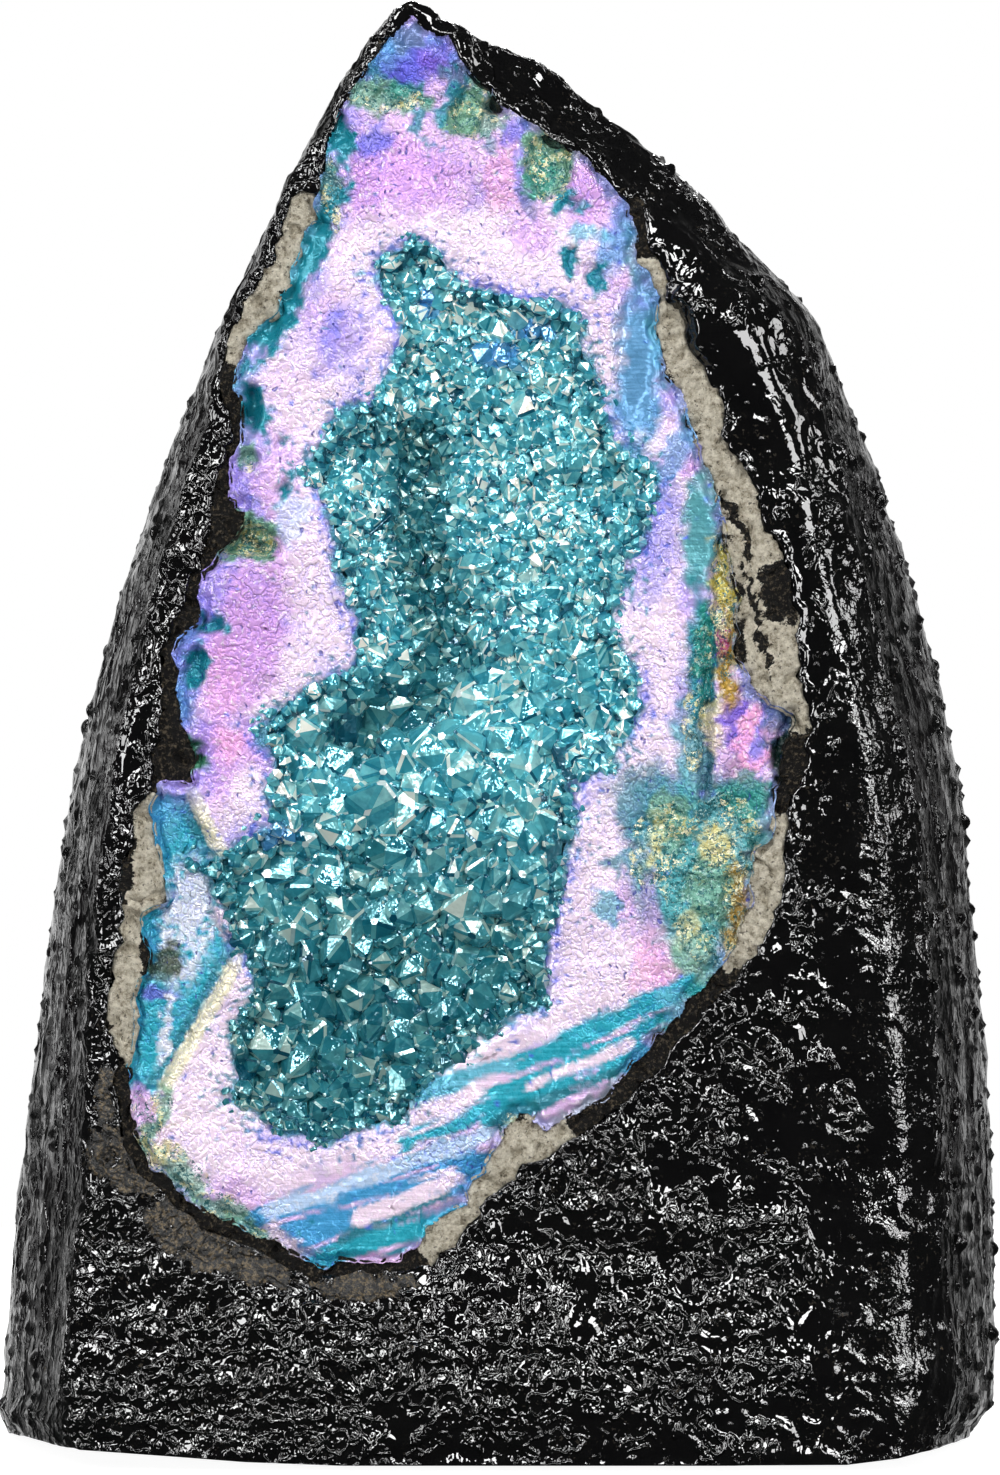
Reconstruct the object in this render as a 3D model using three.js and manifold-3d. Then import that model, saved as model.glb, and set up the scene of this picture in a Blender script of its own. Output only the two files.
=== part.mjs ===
// A standing geode: a cut agate-and-quartz bowl lined with druse crystals, bedded with mortar
// in the front of a cast cement body. Millimetres, +Z up. The cut face looks along -Y, and the
// origin is the middle of the flat base.

import * as THREE from 'three';
import { mergeVertices } from 'three/addons/utils/BufferGeometryUtils.js';
import Module from 'manifold-3d';

const wasm = await Module();
wasm.setup();

// ---------------------------------------------------------------- driving dimensions

const GAP = 0.3;                    // clearance between neighbouring solids
const FACE_FOOT = -37;              // y of the cut face where it reaches the base
const FACE_RISE = 0.9;              // height of the cut face's own zero above the base
const FACE_LEAN = THREE.MathUtils.degToRad(1.5);

// Body sections: height, front ridges, widest points of the sides, their depth, and the back.
const SECTIONS = [
  // z      left   right  left   right  side   back
  // z      ridge  ridge  side   side   y      y
  [0.0,    -47.2,  48.0, -55.8,  55.8,   9.0,  37.5],
  [3.0,    -48.5,  49.5, -57.5,  57.3,   9.0,  39.0],
  [15.0,   -48.0,  49.5, -57.2,  57.7,   8.5,  39.0],
  [30.0,   -46.6,  49.0, -55.8,  57.2,   8.0,  39.0],
  [45.0,   -45.8,  48.5, -53.8,  56.2,   6.5,  38.2],
  [60.0,   -45.0,  47.2, -52.0,  55.0,   5.0,  36.8],
  [75.0,   -43.0,  45.7, -49.4,  53.3,   2.0,  34.2],
  [90.0,   -40.0,  42.0, -45.6,  49.8,  -2.0,  29.8],
  [105.0,  -36.0,  38.8, -40.8,  45.2,  -7.0,  23.5],
  [118.0,  -32.2,  35.0, -35.6,  39.8, -12.5,  15.0],
  [130.0,  -28.9,  28.0, -30.2,  32.0, -18.0,   5.5],
  [140.0,  -24.2,  19.0, -24.9,  23.8, -22.5,  -4.0],
  [148.0,  -20.0,   9.5, -20.9,  15.0, -25.5, -12.5],
  [154.0,  -16.9,   1.0, -17.8,   6.5, -27.5, -19.5],
  [158.5,  -14.0,  -4.4, -14.6,  -2.0, -29.0, -24.5],
  [161.0,  -12.2,  -8.0, -12.6,  -6.6, -30.5, -28.0],
  [161.8,  -11.3,  -9.2, -11.4,  -8.6, -31.5, -30.0],
];
const LEVEL_STEP = 7;               // greatest height between two rings of the body
const LEFT_RIDGE_ROUNDING = 0.9;
const RIGHT_RIDGE_ROUNDING = 4;
const BACK_SQUARENESS = 2.3;        // 2 would be an ellipse
const FRONT_STEPS = 8;
const SIDE_STEPS = 3;
const BACK_STEPS = 13;
const APRON_BULGE = { out: 2, height: 8, spread: 13, middle: 5, halfWidth: 62 };

// Outlines on the cut face, as [x, height], clockwise from the apex.
const BAND_OUTLINE = [
  [-10.5, 159.3], [-6.5, 157], [-4.6, 153.2], [-1.5, 151.5], [0, 149], [5, 146.5], [8.5, 143.8],
  [12, 141], [14.5, 135.5], [16, 131], [17.3, 123.5], [18, 120], [20, 117.8], [20.7, 114.5],
  [23.3, 109], [24.5, 101.5], [26.3, 95], [26.2, 90], [27, 85.5], [29, 83], [32, 82], [31, 78],
  [30.2, 70], [28, 68], [26.5, 60], [26.8, 58], [22.5, 52.5], [17.5, 47.5], [13.5, 42],
  [9, 38.5], [5, 36], [3.5, 38], [1, 38], [-2, 32], [-4.5, 28.5], [-10, 23.5], [-12, 22.3],
  [-16.5, 22.3], [-20, 21.5], [-24, 24], [-28, 26], [-32, 27.5], [-38, 32], [-39.5, 34.5],
  [-41, 43], [-40, 47], [-40.3, 51.5], [-38, 56], [-39, 60.5], [-37.5, 61.5], [-37.7, 67],
  [-38, 73.5], [-34, 75], [-33.5, 77], [-35.7, 86], [-35.5, 90.5], [-33, 93.5], [-31.8, 98],
  [-28, 104], [-30, 107], [-27.8, 115], [-29.2, 120.5], [-25, 126], [-23, 129],
  [-20.3, 137.5], [-19.3, 144.5], [-16.5, 152], [-14.5, 155],
];
const SEAM_OUTLINE = [
  [-10.5, 158], [10, 145], [14.6, 141], [15.9, 138], [16.8, 134], [17.6, 130.5], [19.8, 127],
  [20.6, 124], [22, 120.5], [24, 117], [25.2, 112], [28.3, 106], [30, 102], [31.6, 97],
  [32.3, 92], [32.4, 88], [33.6, 84.5], [34.2, 81], [33.2, 76], [32.2, 72], [31.5, 68],
  [30.7, 64], [30.4, 60], [28.8, 56.8], [24.6, 51.6], [19.2, 46], [15.2, 40.8], [12, 38.2],
  [9, 36.2], [5.5, 33.8], [2.5, 33.2], [0, 30.2], [-3.2, 26.2], [-7, 22.8], [-11, 20.8],
  [-16.5, 20.6], [-20, 19.9], [-24.6, 22], [-28.5, 24.2], [-33, 25.8], [-39.3, 31],
  [-41, 34], [-42.6, 43], [-43.2, 48], [-43.2, 52], [-42.8, 56], [-42, 60], [-41.2, 66],
  [-40.2, 71], [-38.2, 75.5], [-37.3, 80], [-37.3, 86], [-37, 91], [-34.8, 95], [-33.3, 99],
  [-31.4, 104], [-31.6, 108], [-29.6, 114], [-30.5, 120.5], [-29.5, 124.5], [-27.6, 129],
  [-25.2, 133], [-23.7, 136.5], [-22, 139.5], [-16, 152],
];
const DRUSE_OUTLINE = [
  [-9.5, 134.3], [-7, 132.5], [-5, 128.7], [2.5, 127.7], [6, 127.3], [8.3, 126], [10.5, 118],
  [12.5, 112.5], [16, 110], [16.8, 106], [14, 99.5], [13, 95.5], [12.3, 91.5], [15, 85.5],
  [12.5, 77], [7.5, 74.5], [8, 70.5], [6, 62], [4, 53], [4.5, 50.5], [-1, 48.5], [-5, 45],
  [-8.5, 41], [-12, 38.5], [-20, 35.8], [-24.5, 36.5], [-29.5, 40], [-28.5, 48], [-26.5, 53],
  [-28, 56], [-31.5, 65.5], [-28.5, 67.5], [-24.5, 70], [-25.5, 81], [-21.5, 84.5], [-15, 88],
  [-16.5, 96], [-17.8, 104], [-21, 109], [-18, 114], [-12.5, 118], [-10.5, 123], [-12, 128],
  [-13, 131.5],
];

// Dish shapes behind the face: depth of the straight wall, of the bowl, and the line it runs to.
const BAND = { wall: 0.4, depth: 26, roundness: 0.8, spine: [[-9, 119], [-9, 58]] };
const DRUSE_BED = { wall: 0.4, depth: 20.5, roundness: 0.75, spine: [[-7, 114], [-13, 54]] };
const DRUSE_HOLLOW = { wall: 0.4, depth: 16, roundness: 0.85, spine: [[-7, 114], [-13, 54]] };
const DISH_STEPS = [0, 0.1, 0.25, 0.45, 0.7, 0.9];

const SEAM = { front: 0.7, back: 3.4, top: 139.5 };
const DRUSE_RIM = 1.1;              // thickness of the druse bed at the cut face
const DRUSE_SET_BACK = 0.4;         // the bed's rim lies behind the cut face
const CRYSTAL_PROUD = 0.8;          // how far crystals may stand in front of the cut face
const CUTTER_REACH = 8;             // how far cutting solids reach in front of the cut face
const MITRE_LIMIT = 0.4;            // keeps the mitre of a sharp corner short

// Rows of crystals round the hollow: place between rim and spine, number in the row.
const CRYSTAL_ROWS = [[0.08, 22], [0.34, 16], [0.62, 12], [0.86, 8]];
const CRYSTAL = { radius: 2.2, spread: 1.2, root: 2, shaft: 0.8, tip: 0.95, tilt: 0.35 };

// ---------------------------------------------------------------- solids from meshes

function solidOf(geometry) {
  const bare = geometry.clone();
  bare.deleteAttribute('normal');
  bare.deleteAttribute('uv');
  const merged = mergeVertices(bare, 1e-4);
  const vertProperties = new Float32Array(merged.attributes.position.array);
  const triVerts = new Uint32Array(merged.index.array);
  return new wasm.Manifold(new wasm.Mesh({ numProp: 3, vertProperties, triVerts }));
}

function geometryOf(solid) {
  const mesh = solid.getMesh();
  const geometry = new THREE.BufferGeometry();
  geometry.setAttribute('position', new THREE.BufferAttribute(mesh.vertProperties, 3));
  geometry.setIndex(new THREE.BufferAttribute(mesh.triVerts, 1));
  geometry.computeVertexNormals();
  return geometry;
}

// Crystals that meet tip to tip can close off a small pocket: only the outer shell is kept.
function largestShell(solid) {
  const shells = solid.decompose();
  return shells.reduce((best, shell) => (shell.volume() > best.volume() ? shell : best));
}

function twiceArea(a, b, c) {
  return (b.x - a.x) * (c.y - a.y) - (b.y - a.y) * (c.x - a.x);
}

// Triangles that close a ring, wound the way its own points run, or the other way.
function capTriangles(flat, reversed) {
  const triangles = THREE.ShapeUtils.triangulateShape(flat, []);
  const area = triangles.reduce((sum, [a, b, c]) => sum + twiceArea(flat[a], flat[b], flat[c]), 0);
  const alongRing = Math.sign(area) === Math.sign(THREE.ShapeUtils.area(flat));
  return triangles.map(([a, b, c]) => (alongRing === reversed ? [a, c, b] : [a, b, c]));
}

// A closed skin over rings of equally many points. flatten gives a ring's plane coordinates.
function loft(rings, flatten) {
  const count = rings[0].length;
  const last = rings.length - 1;
  const index = [];
  for (let row = 0; row < last; row += 1) {
    for (let i = 0; i < count; i += 1) {
      const next = (i + 1) % count;
      const [a, b] = [row * count + i, row * count + next];
      index.push(a, b, b + count, a, b + count, a + count);
    }
  }
  for (const triangle of capTriangles(rings[0].map(flatten), true)) {
    index.push(...triangle);
  }
  for (const triangle of capTriangles(rings[last].map(flatten), false)) {
    index.push(...triangle.map((corner) => corner + last * count));
  }
  const geometry = new THREE.BufferGeometry().setFromPoints(rings.flat());
  geometry.setIndex(index);
  return geometry;
}

const flattenLevel = (point) => new THREE.Vector2(point.x, point.y);
const flattenFace = (point) => new THREE.Vector2(point.x, point.z);

// ---------------------------------------------------------------- the cut face's frame

const faceMatrix = new THREE.Matrix4()
  .makeRotationX(-FACE_LEAN)
  .setPosition(0, FACE_FOOT, FACE_RISE);

function faceY(z) {
  return FACE_FOOT + (z - FACE_RISE) * Math.tan(FACE_LEAN);
}

function onFace(geometry) {
  return solidOf(geometry.clone().applyMatrix4(faceMatrix));
}

function sideNormal([x0, z0], [x1, z1]) {
  return new THREE.Vector2(z0 - z1, x1 - x0).normalize();
}

// Moves every side of an outline out by a distance, with mitred corners. A negative one moves in.
function offsetOutline(outline, distance) {
  return outline.map((corner, i) => {
    const before = sideNormal(outline.at(i - 1), corner);
    const after = sideNormal(corner, outline[(i + 1) % outline.length]);
    const mitre = distance / Math.max(MITRE_LIMIT, 1 + before.dot(after));
    return [corner[0] + (before.x + after.x) * mitre, corner[1] + (before.y + after.y) * mitre];
  });
}

// The outline as a ring at a depth behind the face, drawn in towards a spine by a share.
// Rings run anticlockwise as seen from the front, so that a loft inwards faces out.
function faceRing(outline, depth, spine, share) {
  const line = new THREE.Line3(
    new THREE.Vector3(spine[0][0], 0, spine[0][1]),
    new THREE.Vector3(spine[1][0], 0, spine[1][1]),
  );
  const nearest = new THREE.Vector3();
  return outline.map(([x, z]) => {
    const point = new THREE.Vector3(x, 0, z);
    line.closestPointToPoint(point, true, nearest);
    point.lerp(nearest, share);
    point.y = depth;
    return point;
  });
}

function dishDepth({ wall, depth, roundness }, share) {
  return wall + depth * (1 - (1 - share) ** 2) ** roundness;
}

function deepened(shape, distance) {
  return { ...shape, wall: shape.wall + distance };
}

// A bowl-shaped solid behind the face, with a flat front at the given depth.
function dish(outline, shape, front) {
  const rings = DISH_STEPS.map((share) => (
    faceRing(outline, dishDepth(shape, share), shape.spine, share)
  ));
  rings.unshift(faceRing(outline, front, shape.spine, 0));
  return loft(rings, flattenFace);
}

function slab(outline, front, back) {
  const spine = BAND.spine;
  return loft([faceRing(outline, front, spine, 0), faceRing(outline, back, spine, 0)], flattenFace);
}

// Everything behind the face up to a height, as wide as the body.
function belowHeight(top) {
  const side = 80;
  return slab([[-side, top], [side, top], [side, -side], [-side, -side]], -side, side);
}

// ---------------------------------------------------------------- cement body

function sectionLevels() {
  const levels = [];
  SECTIONS.slice(1).forEach(([top], i) => {
    const bottom = SECTIONS[i][0];
    const steps = Math.ceil((top - bottom) / LEVEL_STEP);
    for (let step = 0; step < steps; step += 1) {
      levels.push(bottom + ((top - bottom) * step) / steps);
    }
  });
  levels.push(SECTIONS.at(-1)[0]);
  return levels;
}

const sectionAt = new THREE.CubicInterpolant(
  SECTIONS.map((row) => row[0]),
  SECTIONS.flatMap((row) => row.slice(1)),
  6,
);

function apronBulge(x, z) {
  const { out, height, spread, middle, halfWidth } = APRON_BULGE;
  const across = Math.max(0, 1 - ((x - middle) / halfWidth) ** 2);
  return out * across * Math.exp(-(((z - height) / spread) ** 2));
}

function frontPoints(z, left, right) {
  const points = [];
  for (let i = 0; i <= FRONT_STEPS; i += 1) {
    const x = THREE.MathUtils.lerp(left, right, i / FRONT_STEPS);
    points.push(new THREE.Vector3(x, faceY(z) - apronBulge(x, z), z));
  }
  return points;
}

// From a ridge's rounding back to the widest point, easing out.
function sidePoints(z, ridge, rounding, side, sideY) {
  const start = faceY(z) + rounding;
  const points = [];
  for (let i = 0; i < SIDE_STEPS; i += 1) {
    const share = i / SIDE_STEPS;
    const x = THREE.MathUtils.lerp(ridge, side, Math.sin((share * Math.PI) / 2));
    points.push(new THREE.Vector3(x, THREE.MathUtils.lerp(start, sideY, share), z));
  }
  return points;
}

function backPoints(z, right, left, sideY, backY) {
  const middle = (left + right) / 2;
  const half = (right - left) / 2;
  const points = [];
  for (let i = 0; i <= BACK_STEPS; i += 1) {
    const angle = (Math.PI * i) / BACK_STEPS;
    const across = Math.abs(Math.cos(angle)) ** (2 / BACK_SQUARENESS) * Math.sign(Math.cos(angle));
    const out = Math.sin(angle) ** (2 / BACK_SQUARENESS);
    const y = THREE.MathUtils.lerp(sideY, backY, i === BACK_STEPS ? 0 : out);
    points.push(new THREE.Vector3(middle + half * across, y, z));
  }
  return points;
}

function bodyRing(z) {
  const [leftRidge, rightRidge, left, right, sideY, backY] = sectionAt.evaluate(z);
  const narrow = Math.min(1, (rightRidge - leftRidge) / 20);
  const leftRounding = LEFT_RIDGE_ROUNDING * narrow;
  const rightRounding = RIGHT_RIDGE_ROUNDING * narrow;
  return [
    ...frontPoints(z, leftRidge + leftRounding, rightRidge - rightRounding),
    ...sidePoints(z, rightRidge, rightRounding, right, sideY),
    ...backPoints(z, right, left, sideY, backY),
    ...sidePoints(z, leftRidge, leftRounding, left, sideY).reverse(),
  ];
}

function cementJacket() {
  const body = solidOf(loft(sectionLevels().map(bodyRing), flattenLevel));
  const bandRoom = dish(offsetOutline(BAND_OUTLINE, GAP), deepened(BAND, GAP), -CUTTER_REACH);
  const seamRoom = onFace(slab(offsetOutline(SEAM_OUTLINE, GAP), -CUTTER_REACH, SEAM.back + GAP))
    .intersect(onFace(belowHeight(SEAM.top + GAP)));
  return body.subtract(onFace(bandRoom)).subtract(seamRoom);
}

// ---------------------------------------------------------------- inlay, on the cut face

function mortarSeam() {
  const bed = solidOf(slab(SEAM_OUTLINE, SEAM.front, SEAM.back));
  const bandRoom = solidOf(slab(offsetOutline(BAND_OUTLINE, GAP), -CUTTER_REACH, CUTTER_REACH));
  return bed.subtract(bandRoom).intersect(solidOf(belowHeight(SEAM.top)));
}

function quartzBand() {
  const bowl = solidOf(dish(BAND_OUTLINE, BAND, 0));
  const druseRoom = dish(offsetOutline(DRUSE_OUTLINE, GAP), deepened(DRUSE_BED, GAP), -CUTTER_REACH);
  return bowl.subtract(solidOf(druseRoom));
}

// A steady number between 0 and 1 for each whole number.
function scatter(seed) {
  const value = Math.sin(seed * 12.9898 + 4.1) * 43758.5453;
  return value - Math.floor(value);
}

// Six-sided crystal standing on its root along +Y.
function crystalGeometry(radius) {
  const shaft = CRYSTAL.root + CRYSTAL.shaft * radius;
  const profile = [[0, 0], [radius, 0], [radius, shaft], [0, shaft + CRYSTAL.tip * radius]];
  return new THREE.LatheGeometry(profile.map(([x, y]) => new THREE.Vector2(x, y)), 6);
}

function crystalAt(seat, outwards, seed) {
  const radius = CRYSTAL.radius + CRYSTAL.spread * scatter(seed);
  const tilt = new THREE.Vector3(scatter(seed + 0.3), scatter(seed + 0.5), scatter(seed + 0.7));
  const axis = tilt.subScalar(0.5).multiplyScalar(2 * CRYSTAL.tilt).add(outwards).normalize();
  const turn = new THREE.Quaternion()
    .setFromUnitVectors(new THREE.Vector3(0, 1, 0), axis)
    .multiply(new THREE.Quaternion().setFromAxisAngle(new THREE.Vector3(0, 1, 0), seed));
  const foot = seat.clone().addScaledVector(axis, -CRYSTAL.root);
  const place = new THREE.Matrix4().compose(foot, turn, new THREE.Vector3(1, 1, 1));
  return solidOf(crystalGeometry(radius).applyMatrix4(place));
}

function crystals(outline) {
  const made = [];
  CRYSTAL_ROWS.forEach(([share, number], row) => {
    const ring = faceRing(outline, dishDepth(DRUSE_HOLLOW, share), DRUSE_HOLLOW.spine, share);
    const inner = faceRing(outline, 0, DRUSE_HOLLOW.spine, 1);
    const curve = new THREE.CatmullRomCurve3(ring, true, 'catmullrom', 0);
    const innerCurve = new THREE.CatmullRomCurve3(inner, true, 'catmullrom', 0);
    for (let i = 0; i < number; i += 1) {
      const at = curve.getUtoTmapping((i + 0.5 * (row % 2)) / number);
      const seat = curve.getPoint(at);
      const outwards = innerCurve.getPoint(at).sub(seat).setY(0).normalize();
      outwards.multiplyScalar(1 - share).setY(-0.6 - share).normalize();
      made.push(crystalAt(seat, outwards, row * 100 + i));
    }
  });
  return made;
}

function crystalLining() {
  const room = solidOf(dish(DRUSE_OUTLINE, DRUSE_BED, -CRYSTAL_PROUD));
  const bed = solidOf(dish(DRUSE_OUTLINE, DRUSE_BED, DRUSE_SET_BACK));
  const hollowOutline = offsetOutline(DRUSE_OUTLINE, -DRUSE_RIM);
  const hollow = solidOf(dish(hollowOutline, DRUSE_HOLLOW, -CUTTER_REACH));
  const grown = wasm.Manifold.union([bed.subtract(hollow), ...crystals(hollowOutline)]);
  return largestShell(grown.intersect(room));
}

// ---------------------------------------------------------------- the object

function piece(name, solid, color, roughness, metalness) {
  const material = new THREE.MeshStandardMaterial({ color, roughness, metalness });
  material.flatShading = true;
  const mesh = new THREE.Mesh(geometryOf(solid), material);
  mesh.name = name;
  return mesh;
}

const inlay = new THREE.Group();
inlay.applyMatrix4(faceMatrix);
inlay.add(piece('mortar_seam', mortarSeam(), 0xb5ab99, 0.95, 0));
inlay.add(piece('quartz_band', quartzBand(), 0xdcb9ee, 0.3, 0.4));
inlay.add(piece('crystal_lining', crystalLining(), 0x2b9cab, 0.15, 0.3));

const group = new THREE.Group();
group.add(piece('cement_jacket', cementJacket(), 0x101010, 0.25, 0));
group.add(inlay);

export default group;
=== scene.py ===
import math

import bmesh
import bpy
import numpy as np
from mathutils import Matrix, Quaternion, Vector
from mathutils.bvhtree import BVHTree


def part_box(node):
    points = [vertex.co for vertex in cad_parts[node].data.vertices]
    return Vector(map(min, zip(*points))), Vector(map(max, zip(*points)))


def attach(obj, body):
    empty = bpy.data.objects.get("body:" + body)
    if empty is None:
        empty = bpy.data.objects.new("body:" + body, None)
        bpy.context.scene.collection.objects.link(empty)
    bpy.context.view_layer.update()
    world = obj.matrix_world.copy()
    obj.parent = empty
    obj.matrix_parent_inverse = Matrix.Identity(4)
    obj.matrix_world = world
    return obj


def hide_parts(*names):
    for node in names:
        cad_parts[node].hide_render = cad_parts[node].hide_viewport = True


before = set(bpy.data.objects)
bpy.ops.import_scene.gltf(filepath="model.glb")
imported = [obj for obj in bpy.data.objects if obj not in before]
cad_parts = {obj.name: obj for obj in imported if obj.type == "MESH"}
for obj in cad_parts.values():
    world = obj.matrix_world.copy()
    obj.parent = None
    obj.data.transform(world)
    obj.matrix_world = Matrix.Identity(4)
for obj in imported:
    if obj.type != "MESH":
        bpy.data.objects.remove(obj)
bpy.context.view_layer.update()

# ---- sizes, in millimetres

MM = 0.001
FACE_FOOT = -37.0                    # y of the cut face where it meets the base
FACE_RISE = 0.9                      # height of the cut face's own zero above the base
FACE_LEAN = math.radians(1.5)
FACE_NORMAL = np.array(Vector((0, -math.cos(FACE_LEAN), math.sin(FACE_LEAN))))

WELD = 0.001                         # vertices nearer than this are joined
CEMENT_VOXEL = 0.42
CEMENT_TRIANGLES = 195_000
MORTAR_VOXEL = 0.36
BAND_VOXEL = 0.34
BAND_TRIANGLES = 195_000
DRUSE_VOXEL = 0.6
DRUSE_TRIANGLES = 30_000


# ---- noise on arrays of points

def steady(cell, seed):
    """A steady whole number of 32 random bits for each whole-number cell."""
    value = cell[:, 0] * 374761393 + cell[:, 1] * 668265263 + cell[:, 2] * 1440662683
    value = (value + seed * 362437) & 0xFFFFFFFF
    value = ((value ^ (value >> 13)) * 1274126177) & 0xFFFFFFFF
    value = ((value ^ (value >> 15)) * 2246822519) & 0xFFFFFFFF
    return value ^ (value >> 16)


SLOPES = np.random.default_rng(3).normal(size=(64, 3))
SLOPES /= np.linalg.norm(SLOPES, axis=1, keepdims=True)


def waves(points, size, seed=0):
    """Smooth noise, about -1 to 1, with features of the given size."""
    place = points / size
    cell = np.floor(place).astype(np.int64)
    inner = place - cell
    fade = inner ** 3 * (inner * (inner * 6 - 15) + 10)
    total = np.zeros(len(points))
    for corner in np.ndindex(2, 2, 2):
        weight = np.prod(np.where(corner, fade, 1 - fade), axis=1)
        slope = SLOPES[steady(cell + corner, seed) & 63]
        total += weight * np.sum((inner - corner) * slope, axis=1)
    return total * 1.7


def cells(points, size, seed=0):
    """Distance to the nearest scattered seed, in cell sizes, and that seed's own number."""
    place = points / size
    cell = np.floor(place).astype(np.int64)
    nearest = np.full(len(points), 9.0)
    number = np.zeros(len(points))
    for offset in np.ndindex(3, 3, 3):
        other = cell + np.array(offset) - 1
        bits = steady(other, seed)
        spots = np.stack([(bits >> shift & 255) / 255 for shift in (0, 8, 16)], axis=1)
        distance = np.linalg.norm(place - other - 0.1 - 0.8 * spots, axis=1)
        closer = distance < nearest
        nearest[closer] = distance[closer]
        number[closer] = (bits[closer] >> 24) / 255
    return nearest, number


def smooth(low, high, values):
    """0 below low, 1 above high and an even S between."""
    share = np.clip((values - low) / (high - low), 0, 1)
    return share * share * (3 - 2 * share)


# ---- meshes

REACH = 6.0                          # how far neighbouring pieces are looked for
FAR = 99.0                           # stands for anything beyond that
LEVELS = 8                           # steps of a vertex group's weights


def surface_of(piece):
    """The vertices of a piece in millimetres, and their normals."""
    flat = np.empty((2, len(piece.data.vertices) * 3))
    for kind, row in zip(("co", "normal"), flat):
        piece.data.vertices.foreach_get(kind, row)
    points, normals = flat.reshape(2, -1, 3)
    return points / MM, normals


def move_points(piece, points):
    piece.data.vertices.foreach_set("co", (points * MM).ravel())
    piece.data.update()


def joined(node):
    """A CAD node's shape, with its loose triangles joined."""
    shape = bmesh.new()
    shape.from_mesh(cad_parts[node].data)
    bmesh.ops.remove_doubles(shape, verts=shape.verts, dist=WELD * MM)
    return shape


def mesh_from(shape, name):
    mesh = bpy.data.meshes.new(name)
    shape.to_mesh(mesh)
    shape.free()
    return mesh


def add_object(name, data):
    made = bpy.data.objects.new(name, data)
    bpy.context.scene.collection.objects.link(made)
    return made


def finish_with(piece, kind, **settings):
    """Runs one modifier on a piece and keeps its result as the mesh."""
    modifier = piece.modifiers.new(kind, kind)
    for name, value in settings.items():
        setattr(modifier, name, value)
    graph = bpy.context.evaluated_depsgraph_get()
    made = bpy.data.meshes.new_from_object(piece.evaluated_get(graph))
    piece.modifiers.clear()
    piece.data = made
    made.name = piece.name


def remeshed(node, name, voxel):
    """A new piece with a CAD node's shape, in small even faces."""
    piece = add_object(name, mesh_from(joined(node), name))
    finish_with(piece, "REMESH", mode="VOXEL", voxel_size=voxel * MM, adaptivity=0)
    return piece


def weigh(piece, shares):
    """Gives a piece a vertex group with the nearest weights, and names it."""
    group = piece.vertex_groups.new(name="weights")
    levels = np.round(shares * LEVELS).astype(int)
    for level in range(1, LEVELS + 1):
        group.add(np.flatnonzero(levels == level).tolist(), level / LEVELS, "REPLACE")
    return group.name


def thin_out(piece, triangles, keep):
    """Collapses edges down to a number of triangles, and last of all where keep is 1."""
    count = sum(len(face.vertices) - 2 for face in piece.data.polygons)
    finish_with(piece, "DECIMATE", decimate_type="COLLAPSE", ratio=min(1, triangles / count),
                vertex_group=weigh(piece, 1 - keep), vertex_group_factor=4)
    piece.vertex_groups.clear()


def soften(piece, shares, rounds):
    """Evens out a surface, most where the share is 1."""
    finish_with(piece, "SMOOTH", factor=0.5, iterations=rounds, vertex_group=weigh(piece, shares))
    piece.vertex_groups.clear()


def nearness(points, *nodes):
    """Distance in millimetres from each point to some CAD nodes, or FAR well away from them."""
    found = np.full(len(points), FAR)
    for node in nodes:
        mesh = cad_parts[node].data
        corners = [vertex.co for vertex in mesh.vertices]
        tree = BVHTree.FromPolygons(corners, [face.vertices for face in mesh.polygons])
        low, high = (np.array(corner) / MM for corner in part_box(node))
        close = np.all((points > low - REACH) & (points < high + REACH), axis=1)
        for i in np.flatnonzero(close):
            hit = tree.find_nearest(points[i] * MM, REACH * MM)
            if hit[3] is not None:
                found[i] = min(found[i], hit[3] / MM)
    return found


def paint(piece, name, values, domain="POINT"):
    """Stores a number or a colour at each vertex or face."""
    if values.ndim == 1:
        layer = piece.data.attributes.new(name, "FLOAT", domain)
        layer.data.foreach_set("value", values.astype(np.float32))
        return
    layer = piece.data.attributes.new(name, "FLOAT_COLOR", domain)
    colour = np.ones((len(values), 4), np.float32)
    colour[:, :3] = values
    layer.data.foreach_set("color", colour.ravel())


# ---- the cut face

def face_depth(points):
    """How far behind the cut face each point lies."""
    return points[:, 1] - (FACE_FOOT + (points[:, 2] - FACE_RISE) * math.tan(FACE_LEAN))


def face_places(points):
    """Each point's x and height on the cut face."""
    return np.stack([points[:, 0], points[:, 2] - FACE_RISE], axis=1)


def face_outlines(node):
    """The loops that bound a node's part of the cut face, longest first."""
    shape = joined(node)
    front = {face for face in shape.faces
             if np.abs(face_depth(np.array([v.co for v in face.verts]) / MM)).max() < 0.01}
    edges = {edge for edge in shape.edges if len(front.intersection(edge.link_faces)) == 1}
    loops = []
    while edges:
        edge = edges.pop()
        start, corner = edge.verts
        loop = [start]
        while corner is not start:
            loop.append(corner)
            edge = next(e for e in corner.link_edges if e in edges)
            edges.remove(edge)
            corner = edge.other_vert(corner)
        loops.append(in_order(face_places(np.array([v.co for v in loop]) / MM)))
    shape.free()
    return sorted(loops, key=len, reverse=True)


def in_order(loop):
    """The same loop, run anticlockwise from its leftmost corner."""
    x, height = loop.T
    if np.sum(x * np.roll(height, -1) - np.roll(x, -1) * height) < 0:
        loop = loop[::-1]
    return np.roll(loop, -np.argmin(loop[:, 0]), axis=0)


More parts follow.
